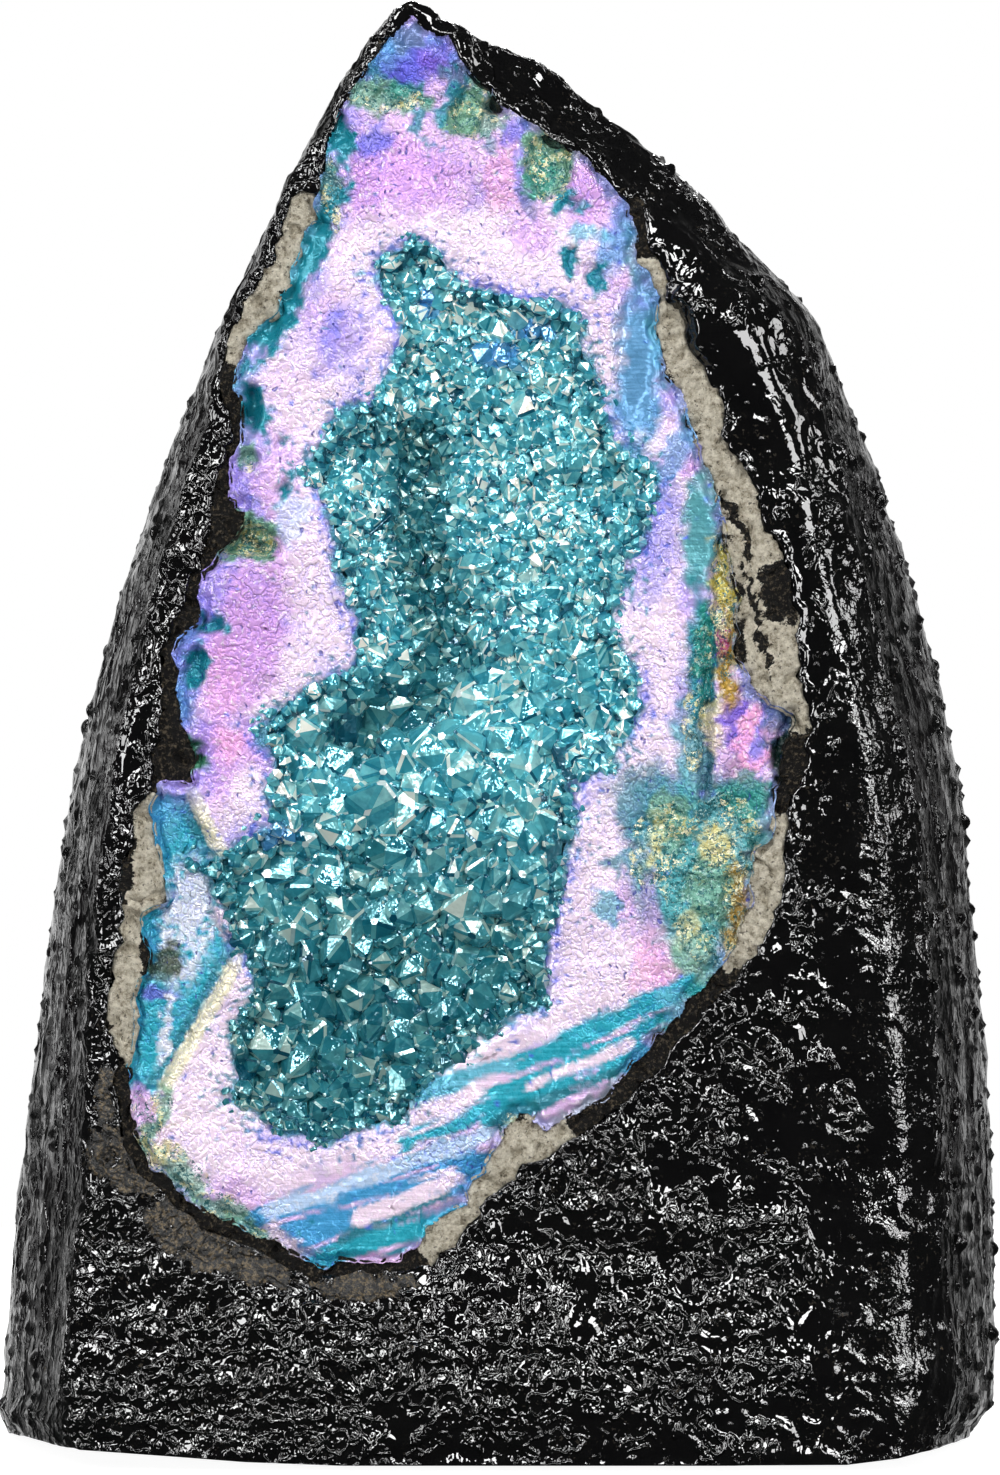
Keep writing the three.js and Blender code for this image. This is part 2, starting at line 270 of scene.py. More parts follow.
def loop_distance(places, loop):
    """Distance from a loop on the cut face, positive inside it."""
    nearest = np.full(len(places), 1e9)
    inside = np.zeros(len(places), bool)
    for start, end in zip(loop, np.roll(loop, -1, axis=0)):
        nearest = np.minimum(nearest, side_distance(places, start, end))
        crosses = (start[1] > places[:, 1]) != (end[1] > places[:, 1])
        rise = end[1] - start[1] or 1e-9
        left = places[:, 0] < start[0] + (places[:, 1] - start[1]) / rise * (end[0] - start[0])
        inside ^= crosses & left
    return np.where(inside, nearest, -nearest)


def line_distance(places, line):
    """Distance from an open line on the cut face."""
    return np.min([side_distance(places, *ends) for ends in zip(line[:-1], line[1:])], axis=0)


def side_distance(places, start, end):
    """Distance from the straight line between two places."""
    side = np.subtract(end, start)
    along = np.clip((places - start) @ side / (side @ side), 0, 1)
    return np.linalg.norm(places - start - along[:, None] * side, axis=1)


BAND_EDGE, DRUSE_EDGE = face_outlines("quartz_band")[:2]


def on_plane(places):
    """Places on the cut face as points for the noise functions."""
    return np.stack([places[:, 0], np.zeros(len(places)), places[:, 1]], axis=1)


def ellipse(places, x, height, half_width, half_height, lean):
    """0 at an ellipse's middle, 1 on its edge, growing outwards."""
    turn = math.radians(lean)
    across = (places[:, 0] - x) * math.cos(turn) - (places[:, 1] - height) * math.sin(turn)
    up = (places[:, 0] - x) * math.sin(turn) + (places[:, 1] - height) * math.cos(turn)
    return np.hypot(across / half_width, up / half_height)


def warped(places, size, amount, seed):
    """The same places, shifted about by noise."""
    flat = on_plane(places)
    return places + amount * np.stack([waves(flat, size, seed), waves(flat, size, seed + 1)], axis=1)


DRIFT = ((5.0, 0.9), (2.0, 0.55), (0.95, 0.3))      # waves of the wander: their sizes and reaches
APEX_SHIFT = 1.1                     # how far the apex leans to the right


def drift(points):
    """A sideways wander of the cut outlines, the same for every piece at the same place."""
    flat = on_plane(face_places(points))
    wander = [sum(amount * waves(flat, size, seed + i) for i, (size, amount) in enumerate(DRIFT))
              for seed in (50, 60)]
    fade = smooth(7, 2, face_depth(points))
    wander[0] += APEX_SHIFT * smooth(149, 159, points[:, 2])
    return np.stack([wander[0] * fade, np.zeros(len(points)), wander[1] * fade], axis=1)


WIDEST_GAP = 0.6                     # between two pieces that are to touch
OVERLAP = 0.06


def closing(normals, gap):
    """Carries flanks across half of the gap to a neighbouring piece, so that the two touch."""
    flank = smooth(0.97, 0.75, normals @ FACE_NORMAL)
    across = (0.5 * np.minimum(gap, WIDEST_GAP) + OVERLAP) * smooth(0.9, WIDEST_GAP, gap)
    return normals * (across * flank)[:, None]


# ---- shader helpers

class Value:
    """A node's output that takes part in arithmetic, each operation adding a Math node."""

    def __init__(self, nodes, socket):
        self.nodes = nodes
        self.socket = socket

    def __add__(self, other):
        return self.nodes.math("ADD", self, other)

    def __sub__(self, other):
        return self.nodes.math("SUBTRACT", self, other)

    def __rsub__(self, other):
        return self.nodes.math("SUBTRACT", other, self)

    def __mul__(self, other):
        return self.nodes.math("MULTIPLY", self, other)

    __radd__ = __add__
    __rmul__ = __mul__


class Nodes:
    """A node tree that grows one call at a time."""

    def __init__(self, owner):
        owner.use_nodes = True
        self.tree = owner.node_tree

    def node(self, kind, inputs=(), output=0, stops=(), **settings):
        made = self.tree.nodes.new("ShaderNode" + kind)
        for name, value in settings.items():
            setattr(made, name, value)
        for index, (place, colour) in enumerate(stops):
            elements = made.color_ramp.elements
            element = elements[index] if index < 2 else elements.new(place)
            element.position = place
            element.color = (*colour, 1)
        for name, value in dict(inputs).items():
            self.feed(made.inputs[name], value)
        return Value(self, made.outputs[output])

    def feed(self, target, value):
        if isinstance(value, Value):
            self.tree.links.new(value.socket, target)
        elif isinstance(value, tuple) and len(value) == 3 and target.type == "RGBA":
            target.default_value = (*value, 1)
        else:
            target.default_value = value

    def math(self, operation, first, second=0.0):
        return self.node("Math", {0: first, 1: second}, operation=operation)


class Shader(Nodes):
    """A material whose nodes are added one call at a time."""

    def __init__(self, name, **constants):
        self.material = bpy.data.materials.new(name)
        super().__init__(self.material)
        self.surface = self.tree.nodes["Principled BSDF"]
        for name, value in constants.items():
            self.surface.inputs[name.replace("_", " ").title().replace("Ior", "IOR")].default_value = value

    def vector(self, operation, first, second):
        return self.node("VectorMath", {0: first, 1: second}, operation=operation)

    def mix(self, share, first, second):
        return self.node("Mix", {0: share, 6: first, 7: second}, output=2, data_type="RGBA")

    def between(self, value, low, high, start=0.0, end=1.0):
        """Maps low..high to start..end, smoothly, and holds there outside."""
        inputs = {0: value, 1: low, 2: high, 3: start, 4: end}
        return self.node("MapRange", inputs, interpolation_type="SMOOTHSTEP")

    def place(self, scale=(1, 1, 1)):
        """Object coordinates in millimetres."""
        coordinates = self.node("TexCoord", output="Object")
        size = tuple(s / MM for s in scale)
        return self.vector("MULTIPLY", coordinates, size)

    def along(self, axis):
        """One object coordinate in millimetres: 0 is across and 2 is up."""
        return self.node("SeparateXYZ", {"Vector": self.place()}, output=axis)

    def noise(self, size, detail=2.0, rough=0.5, place=None, output=0):
        inputs = {"Vector": place or self.place(), "Scale": 1 / size, "Detail": detail, "Roughness": rough}
        return self.node("TexNoise", inputs, output=output)

    def swayed(self, place, size, detail, reach=(1, 1, 1)):
        """The same place, shifted about by noise."""
        sway = self.noise(size, detail, output=1)
        return self.vector("ADD", place, self.vector("MULTIPLY", sway, reach))

    def pebbles(self, size, place=None, output=0):
        """Distance to the nearest scattered seed, in cell sizes, or with output 1 its own colour."""
        return self.node("TexVoronoi", {"Vector": place or self.place(), "Scale": 1 / size}, output=output)

    def ridges(self, size, width, place=None):
        """Curly rounded ridges along the lines where a noise passes its middle."""
        away = self.math("ABSOLUTE", self.noise(size, 0.7, place=place) - 0.5)
        return self.between(away, 0, width, 1, 0)

    def stored(self, name, output="Fac"):
        return self.node("Attribute", attribute_name=name, output=output)

    def bump(self, height, distance, strength=1.0):
        inputs = {"Strength": strength, "Distance": distance * MM, "Height": height}
        return self.node("Bump", inputs)

    def finish(self, **inputs):
        for name, value in inputs.items():
            self.feed(self.surface.inputs[name.replace("_", " ")], value)
        return self.material


def srgb(red, green, blue):
    """A colour given as screen values from 0 to 255."""
    shares = (red / 255, green / 255, blue / 255)
    return tuple(((c + 0.055) / 1.055) ** 2.4 if c > 0.04 else c / 12.92 for c in shares)


PINK_WHITE = srgb(255, 232, 252)
PINK = srgb(250, 172, 220)
LAVENDER = srgb(214, 160, 232)
PERIWINKLE = srgb(140, 138, 238)
BLUE = srgb(80, 105, 230)
CYAN = srgb(110, 195, 222)
TEAL = srgb(30, 140, 158)
DARK_TEAL = srgb(12, 78, 98)
GREEN = srgb(50, 120, 90)
GOLD = srgb(212, 194, 84)
AMBER = srgb(170, 134, 42)
CREAM = srgb(255, 247, 214)
BLUE_TEAL = srgb(70, 150, 205)
DARK_GREEN = srgb(14, 38, 34)
SEA_GREEN = srgb(36, 142, 128)
MAGENTA = srgb(214, 70, 170)
VIOLET = srgb(112, 84, 206)
MOSS = srgb(116, 166, 140)
STRAW = srgb(226, 218, 150)
MIST = srgb(196, 222, 255)
SKY_TEAL = srgb(44, 172, 194)
SLATE_BLUE = srgb(98, 158, 204)
FADED_TEAL = srgb(72, 162, 170)
SKY_BLUE = srgb(70, 160, 214)
DEEP_TEAL = srgb(46, 128, 146)
INDIGO = srgb(98, 98, 216)
STEEL = srgb(84, 112, 150)
SNOW = srgb(236, 240, 255)
OLIVE = srgb(70, 82, 52)


# ---- cement body

# Bare, brown cement beside the mortar: x, height, half width, half height, lean.
RAW_RIM = (
    (-41.5, 33, 5.5, 3.5, 35), (-34, 25, 6, 3.4, 28), (-26.5, 21.5, 5, 2.4, 12), (-15, 19.5, 7, 1.6, 0),
    (-43.5, 40, 1.4, 4, 0),
)

# Swells along the right-hand side: height, reach, how far they stand out.
SWELLS = ((157, 3.5, 1.8), (142, 7, 0.4), (127, 6, 1.8))


def domes(points, size, radius, share, seed):
    """Round grains: heights of smooth mounds of a radius, at a share of the scattered seeds."""
    near, number = cells(points, size, seed)
    reach = radius * (0.6 + 0.5 * number / share)
    height = reach * np.maximum(0, 1 - (near * size / reach) ** 2)
    return np.where(number < share, height, 0)


def cement_relief(points, front, gap):
    """How far the cast cement's surface stands out, in millimetres."""
    x, z = points[:, 0], points[:, 2]
    side = 1 - front
    lumps = 0.30 * waves(points, 12, 1) + 0.22 * waves(points, 5, 2)
    lumps += 2.0 * waves(points, 7, 9) * front * side
    apron = front * smooth(48, 22, z)
    apron_glints = 0.6 * apron * smooth(46, 28, x) + 0.3 * smooth(5, -25, x)
    busy = 0.10 + 0.90 * np.maximum(side, smooth(0.05, 0.5, waves(points, 6, 16) + apron_glints))
    layers = 0.26 * waves(points / np.array((10, 10, 2.6)), 1, 3) * apron
    streaks = 0.32 * waves(points / np.array((2.6, 3.4, 11)), 1, 8) * side
    grains = domes(points, 2.3, 0.8, 0.55, 4) * (0.65 - 0.2 * side)
    studs = domes(points, 2.6, 0.8, 0.6, 10) * side * smooth(0, 15, x) * 0.75
    balls = nodules(points) * (0.35 + side * (0.2 + 0.35 * smooth(-20, 10, x)))
    beads = np.maximum(np.maximum(grains, studs), balls)
    worms = 0.34 * np.maximum(0, 1 - 3.0 * np.abs(waves(points, 3.0, 6))) * (0.3 + 0.7 * front)
    fine = 0.06 * waves(points, 1.1, 7)
    swell = sum(most * np.exp(-((z - height) / reach) ** 2) for height, reach, most in SWELLS)
    swell = swell * smooth(-4, 8, x)
    bead = 0.5 * np.exp(-((gap - 1.0) / 0.5) ** 2) * smooth(110, 122, z)
    bead *= smooth(-6, -12, x)
    return lumps + layers + streaks + swell + bead + (beads + worms + fine) * busy - 0.35


def nodules(points):
    """The large round grains, as on the casting's sides."""
    return domes(points, 4.6, 1.15, 0.30, 5)


def lift_foot(moved, depth):
    """Raises the foot's front edge a little off the ground, most at its two corners."""
    x, z = moved[:, 0], moved[:, 2]
    rise = 0.7 + 1.7 * smooth(-20, -50, x) + 1.2 * smooth(-48, -56, x) + 1.6 * smooth(36, 52, x)
    moved[:, 2] += rise * smooth(12, 0, z) * np.clip((44 - depth) / 42, 0, 1)


SOFTENING = 110                      # rounds of smoothing along the body's right-hand edges


def cement_body():
    """The cast body, lumpy and beaded at its sides and closer on its front."""
    piece = remeshed("cement_jacket", "cement_body", CEMENT_VOXEL)
    points = surface_of(piece)[0]
    gap = nearness(points, "quartz_band", "mortar_seam")
    open_side = smooth(0.4, 2.0, gap) * smooth(0.0, 2.5, points[:, 2])
    soften(piece, open_side * smooth(-40, 30, points[:, 0]), SOFTENING)
    points, normals = surface_of(piece)
    front = smooth(0.45, 0.85, -normals[:, 1]) * smooth(12, 5, face_depth(points))
    standing = smooth(0.0, 0.8, points[:, 2])
    relief = cement_relief(points, front, gap) * smooth(0.35, 1.4, gap) * standing
    moved = points + normals * relief[:, None] + closing(normals, gap)
    moved += drift(points) * (smooth(5, 1.2, gap) * standing)[:, None]
    moved[:, 2] = np.clip(moved[:, 2], 0, None)
    moved[:, 0] -= 1.4 * smooth(7.0, 1.0, moved[:, 2]) * smooth(-46, -53, moved[:, 0])
    moved[:, 0] -= 1.2 * smooth(4.0, 1.0, moved[:, 2]) * smooth(46, 57, moved[:, 0])
    lift_foot(moved, face_depth(points))
    move_points(piece, moved)
    keep = 0.16 + 0.2 * smooth(45, 25, face_depth(points)) + 0.4 * (1 - front) * (nodules(points) > 0.1)
    keep += 0.6 * smooth(0.0, 0.5, -normals[:, 1]) * smooth(14, 8, face_depth(points))
    keep = np.minimum(keep, 1) * smooth(0.25, 0.7, gap) * smooth(0.05, 0.4, points[:, 2])
    thin_out(piece, CEMENT_TRIANGLES, keep)
    points, normals = surface_of(piece)
    places = warped(warped(face_places(points), 2.2, 0.9, 15), 0.9, 0.5, 18)
    paint(piece, "raw", covered(places, RAW_RIM) * smooth(3, 1, face_depth(points)))
    paint(piece, "front", smooth(0.2, 0.6, -normals[:, 1]) * smooth(14, 6, face_depth(points)))
    return piece


def covered(places, ellipses):
    """1 inside any of some ellipses and 0 outside all."""
    return smooth(1.15, 0.7, np.min([ellipse(places, *shape) for shape in ellipses], axis=0))


def cement_paint():
    shader = Shader("black_gloss_paint", ior=1.5)
    front = shader.stored("front")
    raw = shader.stored("raw") + shader.noise(0.9, 4, 0.75) * 2.6 + shader.noise(3, 2) * 1.8 - 2.4
    raw = shader.between(raw, 0.35, 0.65)
    across, up = shader.along(0), shader.along(2)
    apron = shader.between(up + shader.noise(14) * 30 - 15, 45, 85, 1, 0)
    black = shader.mix(shader.noise(3.5, 4, 0.6), (0.0022, 0.0022, 0.0026), (0.007, 0.007, 0.007))
    dust = shader.between(shader.noise(0.55, 3, 0.65), 0.60, 0.68)
    dust = dust * shader.between(shader.noise(8, 3), 0.48, 0.58)
    colour = shader.mix(dust * 0.16, black, srgb(120, 112, 100))
    speckle = shader.between(shader.noise(0.6, 4, 0.8), 0.48, 0.60)
    colour = shader.mix(raw, colour, shader.mix(speckle, srgb(3, 3, 2), srgb(102, 86, 58)))
    lace = apron * shader.between(across, 24, 42, 0.15, -0.03) + shader.between(across, 0, -20) * 0.13
    lace = shader.between(lace + shader.noise(5, 3), 0.54, 0.65)
    worms = shader.ridges(2.0, 0.075) * shader.between(lace, 0, 1, 0.03, 0.60)
    small = shader.ridges(1.3, 0.09) * shader.between(lace, 0, 1, 0.02, 0.16)
    beads = shader.between(shader.pebbles(1.7), 0.08, 0.19, 0.24, 0)
    height = worms + small + beads + shader.noise(1.4, 1) * shader.between(lace, 0, 1, 0.12, 0.6)
    upright = shader.swayed(shader.place((1, 0.35, 0.15)), 3.5, 2, (2.4, 2.4, 0))
    grain = shader.noise(1.1, 3, 0.6, place=upright) * 3.0 + shader.ridges(2.0, 0.07, place=upright) * 0.6
    grain = grain * shader.between(shader.noise(9, 2), 0.40, 0.58, 0.3, 1.25)
    satin = shader.between(across, 33, 42)
    height = height * front + grain * (1 - front) + shader.noise(0.5, 3, 0.6) * raw * 1.3
    height = height + shader.noise(0.6, 2) * satin * 0.32
    rough = shader.between(front, 0.3, 0.9, 0.055, 0.03) + raw * 0.6 + satin * 0.05
    normal = shader.bump(height, 0.36)
    return shader.finish(Base_Color=colour, Roughness=rough, Normal=normal)


# ---- mortar seam

# Stretches where the mortar shows bare: how wide, then its outer edge as x, height.
BARE_MORTAR = (
    (4.2, (-20.3, 141), (-22.5, 139), (-24, 136), (-25, 133), (-27, 130.5), (-28.3, 127.5), (-29, 125)),
    (1.9, (-38.4, 71), (-38.6, 68), (-38.8, 64), (-39.8, 60), (-41.2, 57), (-41.7, 52), (-41.5, 48),
     (-41, 45)),
    (3.0, (17, 130), (19.5, 127), (20.3, 124.5), (22, 120), (22.5, 118), (24, 116), (25, 112)),
    (5.0, (26.5, 109), (28, 106), (29.5, 103.5), (30, 101.5), (31.5, 97), (32, 92), (32, 88), (31.5, 85)),
    (3.0, (29.8, 68.5), (28.9, 66), (29.0, 62), (27.5, 58.5), (26.2, 57)),
    (3.4, (5, 35.5), (3, 34.5), (1, 32.5), (-1.5, 31), (-3, 27), (-4, 24.5), (-6, 25)),
)
STAINED_MORTAR = ((30.6, 95.5, 1.7, 4.2, -8), (26.0, 103.5, 0.5, 5, -26), (28.6, 93, 0.35, 8, -12))


def mortar_seam():
    """The grainy mortar between the cement and the band."""
    piece = remeshed("mortar_seam", "mortar_bead", MORTAR_VOXEL)
    points, normals = surface_of(piece)
    gap = nearness(points, "quartz_band", "cement_jacket")
    front = smooth(0.5, 0.9, -normals[:, 1])
    places = warped(warped(face_places(points), 2.0, 0.6, 17), 0.9, 0.4, 19)
    away = np.min([line_distance(places, line) / width for width, *line in BARE_MORTAR], axis=0)
    bare = smooth(1.1, 0.8, away) * (1 - covered(places, STAINED_MORTAR))
    pits = 0.9 * smooth(0.25, 0.6, waves(points, 1.6, 12))
    relief = 0.3 + 0.25 * waves(points, 4.0, 13) + 0.22 * waves(points, 0.9, 14)
    relief += domes(points, 1.3, 0.4, 0.6, 11) * 0.5 - pits
    moved = points + normals * (relief * front)[:, None] + closing(normals, gap) + drift(points)
    move_points(piece, moved)
    paint(piece, "bare", bare)
    return piece


def mortar_finish():
    shader = Shader("bare_mortar", specular_ior_level=0.12)
    tone = shader.noise(0.8, 5, 0.75)
    tan = shader.node("ValToRGB", {"Fac": tone}, stops=(
        (0.32, srgb(84, 75, 60)), (0.43, srgb(176, 167, 147)), (0.60, srgb(226, 219, 201))))
    specks = shader.between(shader.noise(0.45, 2), 0.62, 0.68)
    tan = shader.mix(specks * 0.7, tan, srgb(52, 46, 40))
    speckle = shader.between(shader.noise(0.5, 4, 0.8), 0.52, 0.64)
    stained = shader.mix(speckle, srgb(9, 8, 7), srgb(92, 82, 66))
    bare = shader.between(shader.stored("bare") + shader.noise(0.8, 4, 0.75) * 2.2 - 1.15, 0.4, 0.6)
    colour = shader.mix(bare, stained, tan)
    normal = shader.bump(shader.noise(0.5, 5, 0.75), 0.45)
    return shader.finish(Base_Color=colour, Roughness=bare * 0.6 + 0.3, Normal=normal)


# ---- coated quartz band

# Hollows in the band: x, height, half width, half height, lean in degrees, depth.
HOLLOWS = (
    (-27.3, 116, 1.2, 2.8, 0, 2.6), (-24, 107, 0.5, 1.3, 15, 0.9), (-24.2, 112.4, 0.9, 0.4, 0, 0.7),
    (-27.5, 110.4, 1.1, 0.9, 0, 1), (-28, 101.5, 4.2, 2, 8, 1.5), (-27, 101, 1.9, 0.35, 10, 1.2),
    (-32, 92, 1.8, 0.9, 0, 1.4), (-33.5, 87.5, 1.2, 2.3, 0, 1.8), (-34.6, 77.6, 1.8, 1.8, 0, 2.8),
    (-3.6, 149, 2, 3.2, 10, 1.3), (-1, 149.4, 1.1, 1, 0, 2.2), (5.4, 142.8, 2.6, 3.6, -10, 1.2),
    (7.6, 138.4, 1.3, 1, 0, 0.8), (8, 132.4, 0.9, 1.6, 0, 0.7), (10.4, 130.6, 1.1, 1.3, 0, 0.7),
    (22.7, 81.5, 0.7, 11.5, 3, 1.3), (24.8, 94, 1.4, 8.5, -3, 1.4), (32, 78, 1.6, 5.2, 5, 3),
    (25.4, 61, 1.3, 4.5, 0, 1), (-22.6, 130, 1.8, 11, 27, 0.9), (15, 122, 2.4, 9, 3, 0.7),
    (-17.5, 146, 1.4, 4, -15, 0.7),
)

# Where the band is broken into rough grains: x, height, half width, half height, lean.
GRAINY = (
    (-2.9, 148.8, 3, 3.4, 10), (5.4, 142.8, 2.8, 4, -10), (-12.5, 150.2, 4.6, 1.6, 5),
    (-28.2, 101.6, 4, 2.4, 8), (24.9, 94, 1.7, 9, -3), (17.5, 68, 3.2, 5.5, 20),
    (22, 62.5, 4.2, 8.5, -10), (24.5, 68.5, 4.5, 5.5, 0), (25.6, 61, 1.8, 6.5, 0), (2, 36.2, 2.6, 2, 40),
    (-35.2, 32, 4.5, 2.2, 35), (-30.2, 27.8, 3.4, 1.8, 30), (21.8, 84, 1.6, 9, 4),
    (-18.6, 139.5, 1, 5, -6), (-40, 38, 1.2, 4, 0), (-28, 110.2, 1.2, 1.2, 0),
    (-38.6, 36.6, 1.6, 5.4, 24), (-26.6, 24.6, 4, 1.2, 28),
)

# The outline of the sunken step at the left, and the crests of its ledges.
LOWER_STEP = np.array((
    (-44, 73.5), (-34.4, 73.5), (-31.0, 66.5), (-31.8, 61.0), (-28.7, 56.4), (-31.5, 51.0),
    (-37.2, 41.0), (-44, 40),
))
LEDGES = (((-28.4, 56.4), (-31.2, 51.4), (-37.0, 41.4)), ((-34.2, 73.6), (-30.8, 66.8)))

# Colours over the band: x, height, half width, half height, lean, colour, strength.
WASHES = (
    (-2, 133.5, 15, 5, 0, PINK_WHITE, 1), (-12, 141.5, 8, 4.5, 0, LAVENDER, 0.9),
    (0.4, 141.5, 2.2, 4.6, 0, PINK, 0.5), (3, 141, 0.9, 4.5, 0, PERIWINKLE, 0.7),
    (-11.4, 154.4, 4.2, 5, 10, INDIGO, 1), (-6.6, 155.2, 2.4, 2.8, 0, VIOLET, 0.95),
    (-14, 145.5, 2.4, 2.4, 0, BLUE, 0.75), (1.8, 146.4, 2, 1.8, 0, BLUE, 0.7),
    (9.5, 139.5, 2.2, 3.2, 20, LAVENDER, 0.8), (13, 135.5, 1.8, 4.5, 15, PERIWINKLE, 0.85),
    (-17, 123.5, 3.2, 4.5, 0, PERIWINKLE, 0.5), (-24, 120, 4, 6, 0, PINK_WHITE, 0.6),
    (-29, 113, 1.6, 2.2, 0, PINK, 0.8), (-25, 104, 6, 9, 0, LAVENDER, 0.55),
    (-20, 100, 3.5, 14, 5, PINK_WHITE, 0.8), (-29, 90, 5, 8, 0, LAVENDER, 0.9),
    (-31, 84, 2.5, 6, 0, PINK, 0.3), (-35, 86, 1.8, 11, 6, PERIWINKLE, 0.9),
    (-29, 77, 6, 4, 0, LAVENDER, 0.8), (-27, 73, 2.6, 3.2, 0, PINK_WHITE, 0.9),
    (-33, 38, 4.5, 9, 12, PINK_WHITE, 1), (-25, 33, 4, 3.5, -10, PINK_WHITE, 0.9),
    (17.5, 104, 3, 7, 0, PERIWINKLE, 0.6), (15.6, 97, 2.4, 4.5, 0, PERIWINKLE, 0.5),
    (20.5, 110.5, 2.2, 2.6, 50, LAVENDER, 0.8), (15.5, 112.5, 2.4, 2.2, 0, PINK_WHITE, 1),
    (17.2, 90, 3.6, 4.5, 0, PINK_WHITE, 1), (16, 79, 3, 6, 0, PINK_WHITE, 1),
    (13.4, 120, 1.2, 7, 0, PINK_WHITE, 0.9), (20.5, 64, 6.2, 11.5, -14, FADED_TEAL, 1),
    (16, 71.5, 5, 5.6, 30, TEAL, 0.8), (25, 70, 5.6, 6, 0, FADED_TEAL, 0.95),
    (21.5, 54.5, 2.8, 3.6, -30, MOSS, 0.8), (10.6, 66, 2.6, 7.5, 0, PINK_WHITE, 1),
    (11, 54, 6.2, 6.2, 0, PINK_WHITE, 1), (17, 54.5, 2.4, 3.8, 0, PINK, 0.6),
    (17, 61.5, 1.2, 3.5, 0, LAVENDER, 0.5), (15.9, 121, 3.1, 11.5, 3, SLATE_BLUE, 1),
    (12.8, 133.6, 2.2, 3.6, 25, SLATE_BLUE, 0.8), (3.4, 135.2, 2.8, 2.8, 0, LAVENDER, 0.7),
    (16.6, 130, 1.6, 4, 5, PERIWINKLE, 0.6), (21, 77.5, 2, 5, 0, FADED_TEAL, 0.85),
    (22.2, 102.5, 1.9, 7.5, 4, FADED_TEAL, 0.95), (22.3, 88, 2, 9, 3, TEAL, 1),
    (20, 112, 1.2, 5.5, 20, SLATE_BLUE, 0.8), (-14, 38, 9, 2.2, -14, MIST, 0.8),
    (-31, 79, 3.4, 2.2, 0, PINK, 0.6),
)

